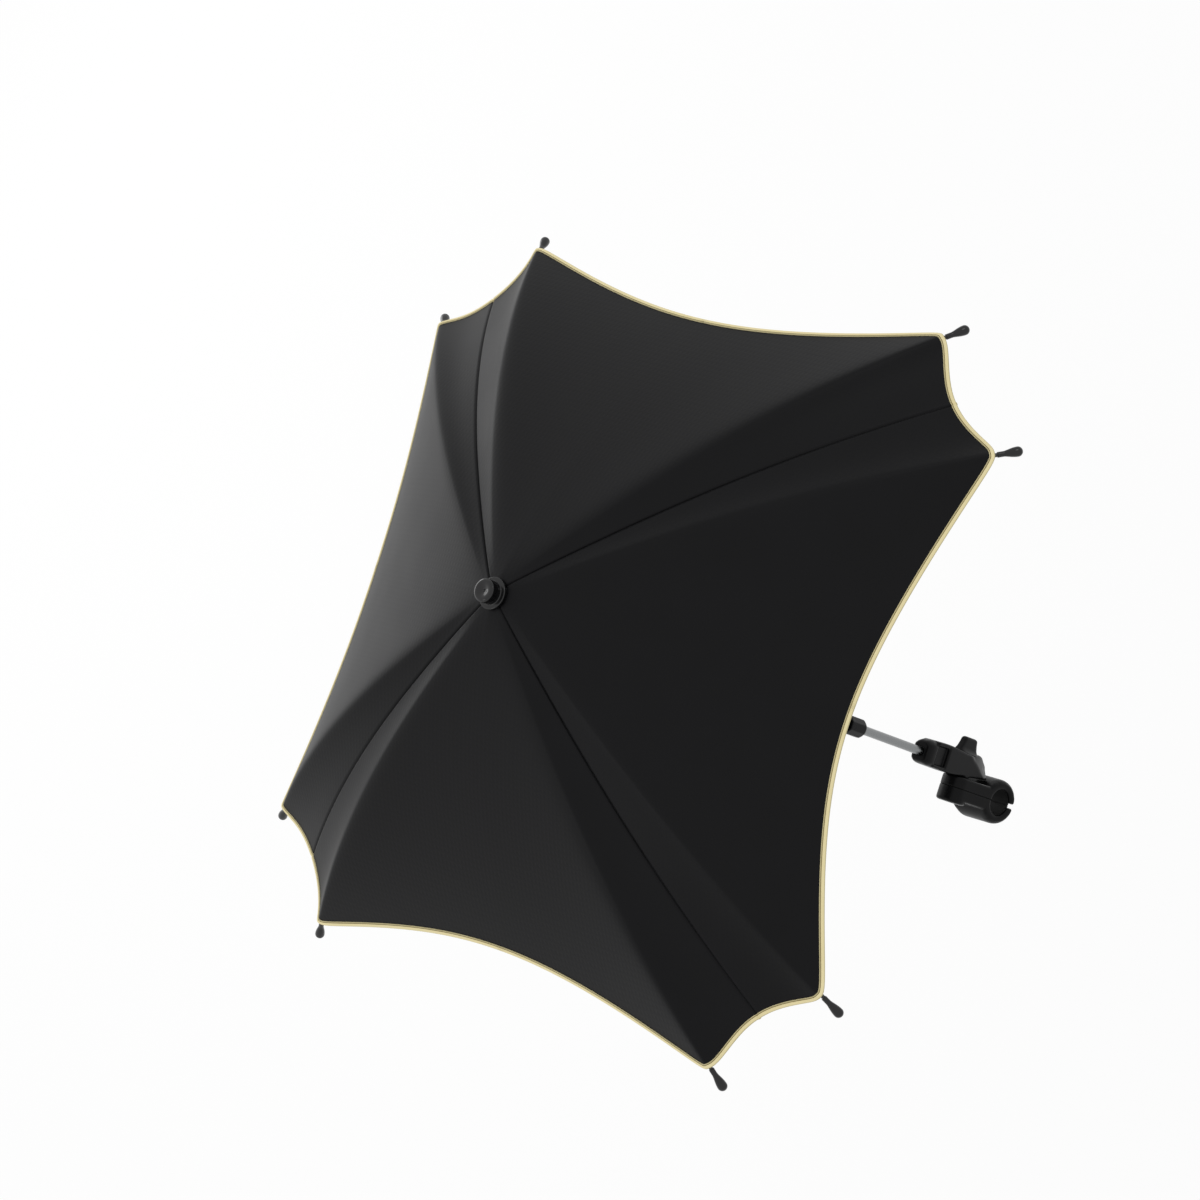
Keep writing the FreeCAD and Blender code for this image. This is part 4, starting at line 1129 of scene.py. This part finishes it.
    def round_ring(self, points: np.ndarray) -> np.ndarray:
        """Draw in the ends of the jaw's ring by a parabola, and bring the two halves closer at their split.

        Args:
            points: the jaw's points in millimetres.

        Returns:
            The moved points.
        """
        bore = np.array(frame["record"]["mounts"][0]["axis"])
        rise = np.array((-bore[2], 0.0, bore[0]))
        along, up, side = points @ bore, points @ rise, points[:, 1]
        radius = np.hypot(up, side)
        inner, outer = self.ring_radii
        near, far = self.neck_span
        end = np.clip((np.abs(along) - self.ring_half + self.ring_round) / self.ring_round, 0.0, 1.0) ** 2
        in_wall = np.clip((radius - inner) / (outer - inner), 0.0, 1.0)
        below_neck = np.clip((far - up) / (far - near), 0.0, 1.0)
        slim = 1.0 - self.ring_taper * end * (in_wall * below_neck) / np.maximum(radius, inner)
        from_split = (np.abs(side) - self.split_half) / self.split_fade
        close = self.split_close * np.clip(1.0 - from_split, 0.0, 1.0)
        side = side * slim - np.sign(side) * close
        flat = along[:, None] * bore + (up * slim)[:, None] * rise
        return flat + side[:, None] * np.array((0.0, 1.0, 0.0))


@dataclass
class WingKnob:
    """The wing knob of the clamp screw: a long foot that runs up into a flat tab, in millimetres.

    The foot thins into the tab within the flare, the knob's ends lean in by a power, and the powers of foot
    and tab say how square their sections are.
    """

    foot_half: float = 16.0
    foot_thick: float = 7.6
    foot_power: float = 2.4
    foot_round: float = 1.0
    tab_half: float = 9.2
    tab_thick: float = 3.3
    tab_power: float = 7.0
    flare: float = 6.0
    lean_in: float = 1.7
    top_round: float = 2.6
    rings: int = 60
    around: int = 88

    def build(self) -> bpy.types.Object:
        """Loft the knob from superellipses that go from an oval foot to a flat tab with rounded edges.

        A section at height h has half width a, half thickness b and exponent n, and its point at angle u is
        (b |cos u|^(2/n), a |sin u|^(2/n)) with the signs of the cosine and the sine.

        Returns:
            The knob.
        """
        low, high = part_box("wing_knob")
        tall = (high.y - low.y) / MM
        height = tall * (1.0 - np.cos(np.linspace(0.0, math.pi, self.rings))) / 2.0
        rest = 1.0 - height / tall
        near_foot = np.clip(1.0 - height / self.flare, 0.0, 1.0)
        into_top = np.clip((height - tall + self.top_round) / self.top_round, 0.0, 1.0)
        into_foot = np.clip(1.0 - height / self.foot_round, 0.0, 1.0)
        inset = (self.top_round * (1.0 - np.sqrt(1.0 - into_top ** 2))
                 + self.foot_round * (1.0 - np.sqrt(1.0 - into_foot ** 2)))
        width = self.tab_half + (self.foot_half - self.tab_half) * rest ** self.lean_in - inset
        thick = self.tab_thick + (self.foot_thick - self.tab_thick) * near_foot ** 2 - inset
        power = 2.0 / (self.tab_power + (self.foot_power - self.tab_power) * near_foot)
        angle = np.linspace(0.0, 2.0 * math.pi, self.around, endpoint=False)
        cosine, sine = np.cos(angle), np.sin(angle)
        x = thick[:, None] * np.sign(cosine) * np.abs(cosine) ** power[:, None]
        z = width[:, None] * np.sign(sine) * np.abs(sine) ** power[:, None]
        rings = np.stack([x, np.repeat(height[:, None], self.around, axis=1), z], axis=-1)
        caps = rings[[0, -1]] * np.array((0.0, 1.0, 0.0))
        rings = np.concatenate([caps[:1], rings, caps[1:]])
        centre = np.array(((low.x + high.x) / 2.0, low.y, (low.z + high.z) / 2.0))
        faces = grid_faces(len(rings), self.around, wrap=True).tolist()
        knob = mesh_piece("wing_knob_moulding", rings * MM + centre, faces, "wing_screw")
        knob.data.materials.append(SATIN_PLASTIC.material())
        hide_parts("wing_knob")
        return knob


@dataclass
class Hardware:
    """The nodes' own solids, which take the finish of their slot."""

    finishes: dict[str, Finish] = field(default_factory=lambda: {
        "black_wire": PAINTED_WIRE, "matte_black": SATIN_PLASTIC, "gloss_black": POLISHED_ABS,
        "shaft_metal": DRAWN_ALUMINIUM, "fixing_steel": ZINC_STEEL, "grip_rubber": GRIP_RUBBER,
        "canopy_fabric": SATIN_CLOTH, "edge_binding": GOLD_RIBBON})

    def dress(self) -> int:
        """Give every node the finish of its slot.

        Returns:
            How many nodes were dressed.
        """
        made = {slot: finish.material() for slot, finish in self.finishes.items()}
        for part in frame["record"]["subparts"]:
            node = frame["nodes"][part["node"]]
            node.data.materials.clear()
            node.data.materials.append(made[part["material_slot"]])
        return len(frame["record"]["subparts"])


@dataclass(frozen=True)
class Softbox:
    """A round soft lamp, with its place and width in metres and its power in watts."""

    name: str
    place: tuple[float, float, float]
    width: float
    power: float


@dataclass
class Studio:
    """A pale floor, soft light and the camera, in metres."""

    floor_drop: float = 0.9
    floor_half: float = 14.0
    floor_colour: str = "#F2F2F2"
    floor_roughness: float = 0.9
    # How much of the white backdrop shows in the floor, and how bright the room is beside that backdrop.
    floor_glow: float = 0.8
    room_light: float = 0.9
    # The camera's place, and the picture's right, up and backward directions.
    eye: tuple[float, float, float] = (2.10732, -0.09151, 3.09683)
    right: tuple[float, float, float] = (0.73544, 0.30750, -0.60380)
    up: tuple[float, float, float] = (-0.20967, 0.95064, 0.22875)
    back: tuple[float, float, float] = (0.64433, -0.04163, 0.76361)
    # The lens and the picture's width in millimetres, and how far the camera sees.
    lens: float = 123.33
    sensor: float = 36.0
    sight: float = 100.0
    lamp_aim: tuple[float, float, float] = (0.0, 0.02, 0.6)
    softboxes: tuple[Softbox, ...] = (Softbox("key_softbox", (-0.9, -2.0, 3.0), 0.9, 6.0),
                                      Softbox("side_softbox", (1.6, 2.2, 2.6), 0.8, 5.0),
                                      Softbox("back_softbox", (-3.0, 0.7, 0.9), 2.2, 17.0))

    def build(self) -> None:
        """Set up the camera, the lamps, the room and the floor."""
        self.aim_camera()
        for softbox in self.softboxes:
            self.hang(softbox)
        self.paint_room()
        self.lay_floor()

    def aim_camera(self) -> None:
        """Put the camera where the photograph was taken from."""
        data = bpy.data.cameras.new("photograph_view")
        data.lens = self.lens
        data.sensor_width = self.sensor
        data.clip_end = self.sight
        camera = bpy.data.objects.new("photograph_view", data)
        turn = Matrix((self.right, self.up, self.back)).transposed()
        camera.matrix_world = Matrix.Translation(self.eye) @ turn.to_4x4()
        bpy.context.scene.collection.objects.link(camera)
        bpy.context.scene.camera = camera

    def hang(self, softbox: Softbox) -> None:
        """Hang a softbox and turn it to the parasol.

        Args:
            softbox: the lamp.
        """
        data = bpy.data.lights.new(softbox.name, "AREA")
        data.shape = "DISK"
        data.size = softbox.width
        data.energy = softbox.power
        lamp = bpy.data.objects.new(softbox.name, data)
        turn = (Vector(self.lamp_aim) - Vector(softbox.place)).to_track_quat("-Z", "Y")
        lamp.matrix_world = Matrix.Translation(softbox.place) @ turn.to_matrix().to_4x4()
        bpy.context.scene.collection.objects.link(lamp)

    def paint_room(self) -> None:
        """Make the world a bright room, which is white where it is seen."""
        world = bpy.data.worlds.new("bright_room")
        bpy.context.scene.world = world
        world.use_nodes = True
        tree = world.node_tree
        backdrop = tree.nodes["Background"]
        backdrop.inputs["Color"].default_value = linear(WHITE)
        strength = add_node(tree, "ShaderNodeMapRange", {"To Min": self.room_light, "To Max": 1.0},
                            {"Value": self.seen(tree)})
        tree.links.new(strength.outputs["Result"], backdrop.inputs["Strength"])

    def seen(self, tree: bpy.types.NodeTree) -> bpy.types.NodeSocket:
        """Add the test for what the camera, a reflection or a clear piece shows.

        Args:
            tree: the node tree of the world or of a material.

        Returns:
            A socket that is one for what is shown, and nought for light alone.
        """
        path = add_node(tree, "ShaderNodeLightPath")
        shown = path.outputs["Is Camera Ray"]
        for kind in ("Is Glossy Ray", "Is Transmission Ray"):
            either = {0: shown, 1: path.outputs[kind]}
            shown = add_node(tree, "ShaderNodeMath", {"operation": "MAXIMUM"}, either).outputs["Value"]
        return shown

    def lay_floor(self) -> None:
        """Lay a pale floor well below, as under a pram, which keeps a faint shadow."""
        half, low = self.floor_half, -self.floor_drop
        mesh = bpy.data.meshes.new("floor")
        corners = [(-half, -half, low), (half, -half, low), (half, half, low), (-half, half, low)]
        mesh.from_pydata(corners, [], [(0, 1, 2, 3)])
        floor = bpy.data.objects.new("floor", mesh)
        bpy.context.scene.collection.objects.link(floor)
        material = bpy.data.materials.new("pale_painted_floor")
        material.use_nodes = True
        tree = material.node_tree
        shader = tree.nodes["Principled BSDF"]
        shader.inputs["Base Color"].default_value = linear(self.floor_colour)
        shader.inputs["Roughness"].default_value = self.floor_roughness
        shader.inputs["Specular IOR Level"].default_value = 0.0
        glow = add_node(tree, "ShaderNodeEmission", {"Color": linear(WHITE), "Strength": 1.0})
        share = add_node(tree, "ShaderNodeMath", {"operation": "MULTIPLY", 1: self.floor_glow},
                         {0: self.seen(tree)})
        mixed = add_node(tree, "ShaderNodeMixShader", links={
            0: share.outputs["Value"], 1: shader.outputs["BSDF"], 2: glow.outputs["Emission"]})
        tree.links.new(mixed.outputs["Shader"], tree.nodes["Material Output"].inputs["Surface"])
        mesh.materials.append(material)


def main() -> None:
    """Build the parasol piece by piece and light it."""
    logging.basicConfig(level=logging.INFO, format="%(name)s: %(message)s")
    bpy.context.scene.view_settings.view_transform = "Standard"
    LOG.info("%d nodes dressed", Hardware().dress())
    ribs = RibPlan()
    cloth = CanopyCloth(ribs)
    for group in (cloth.build(), CrownLining(cloth).build(), EdgeBinding(cloth).build(),
                  RibTips(ribs).build(), [Ferrule().build()], Mouldings().build(), [WingKnob().build()]):
        for piece in group:
            LOG.info("%s has %d faces", piece.name, len(piece.data.polygons))
    Studio().build()


if __name__ == "__main__":
    main()
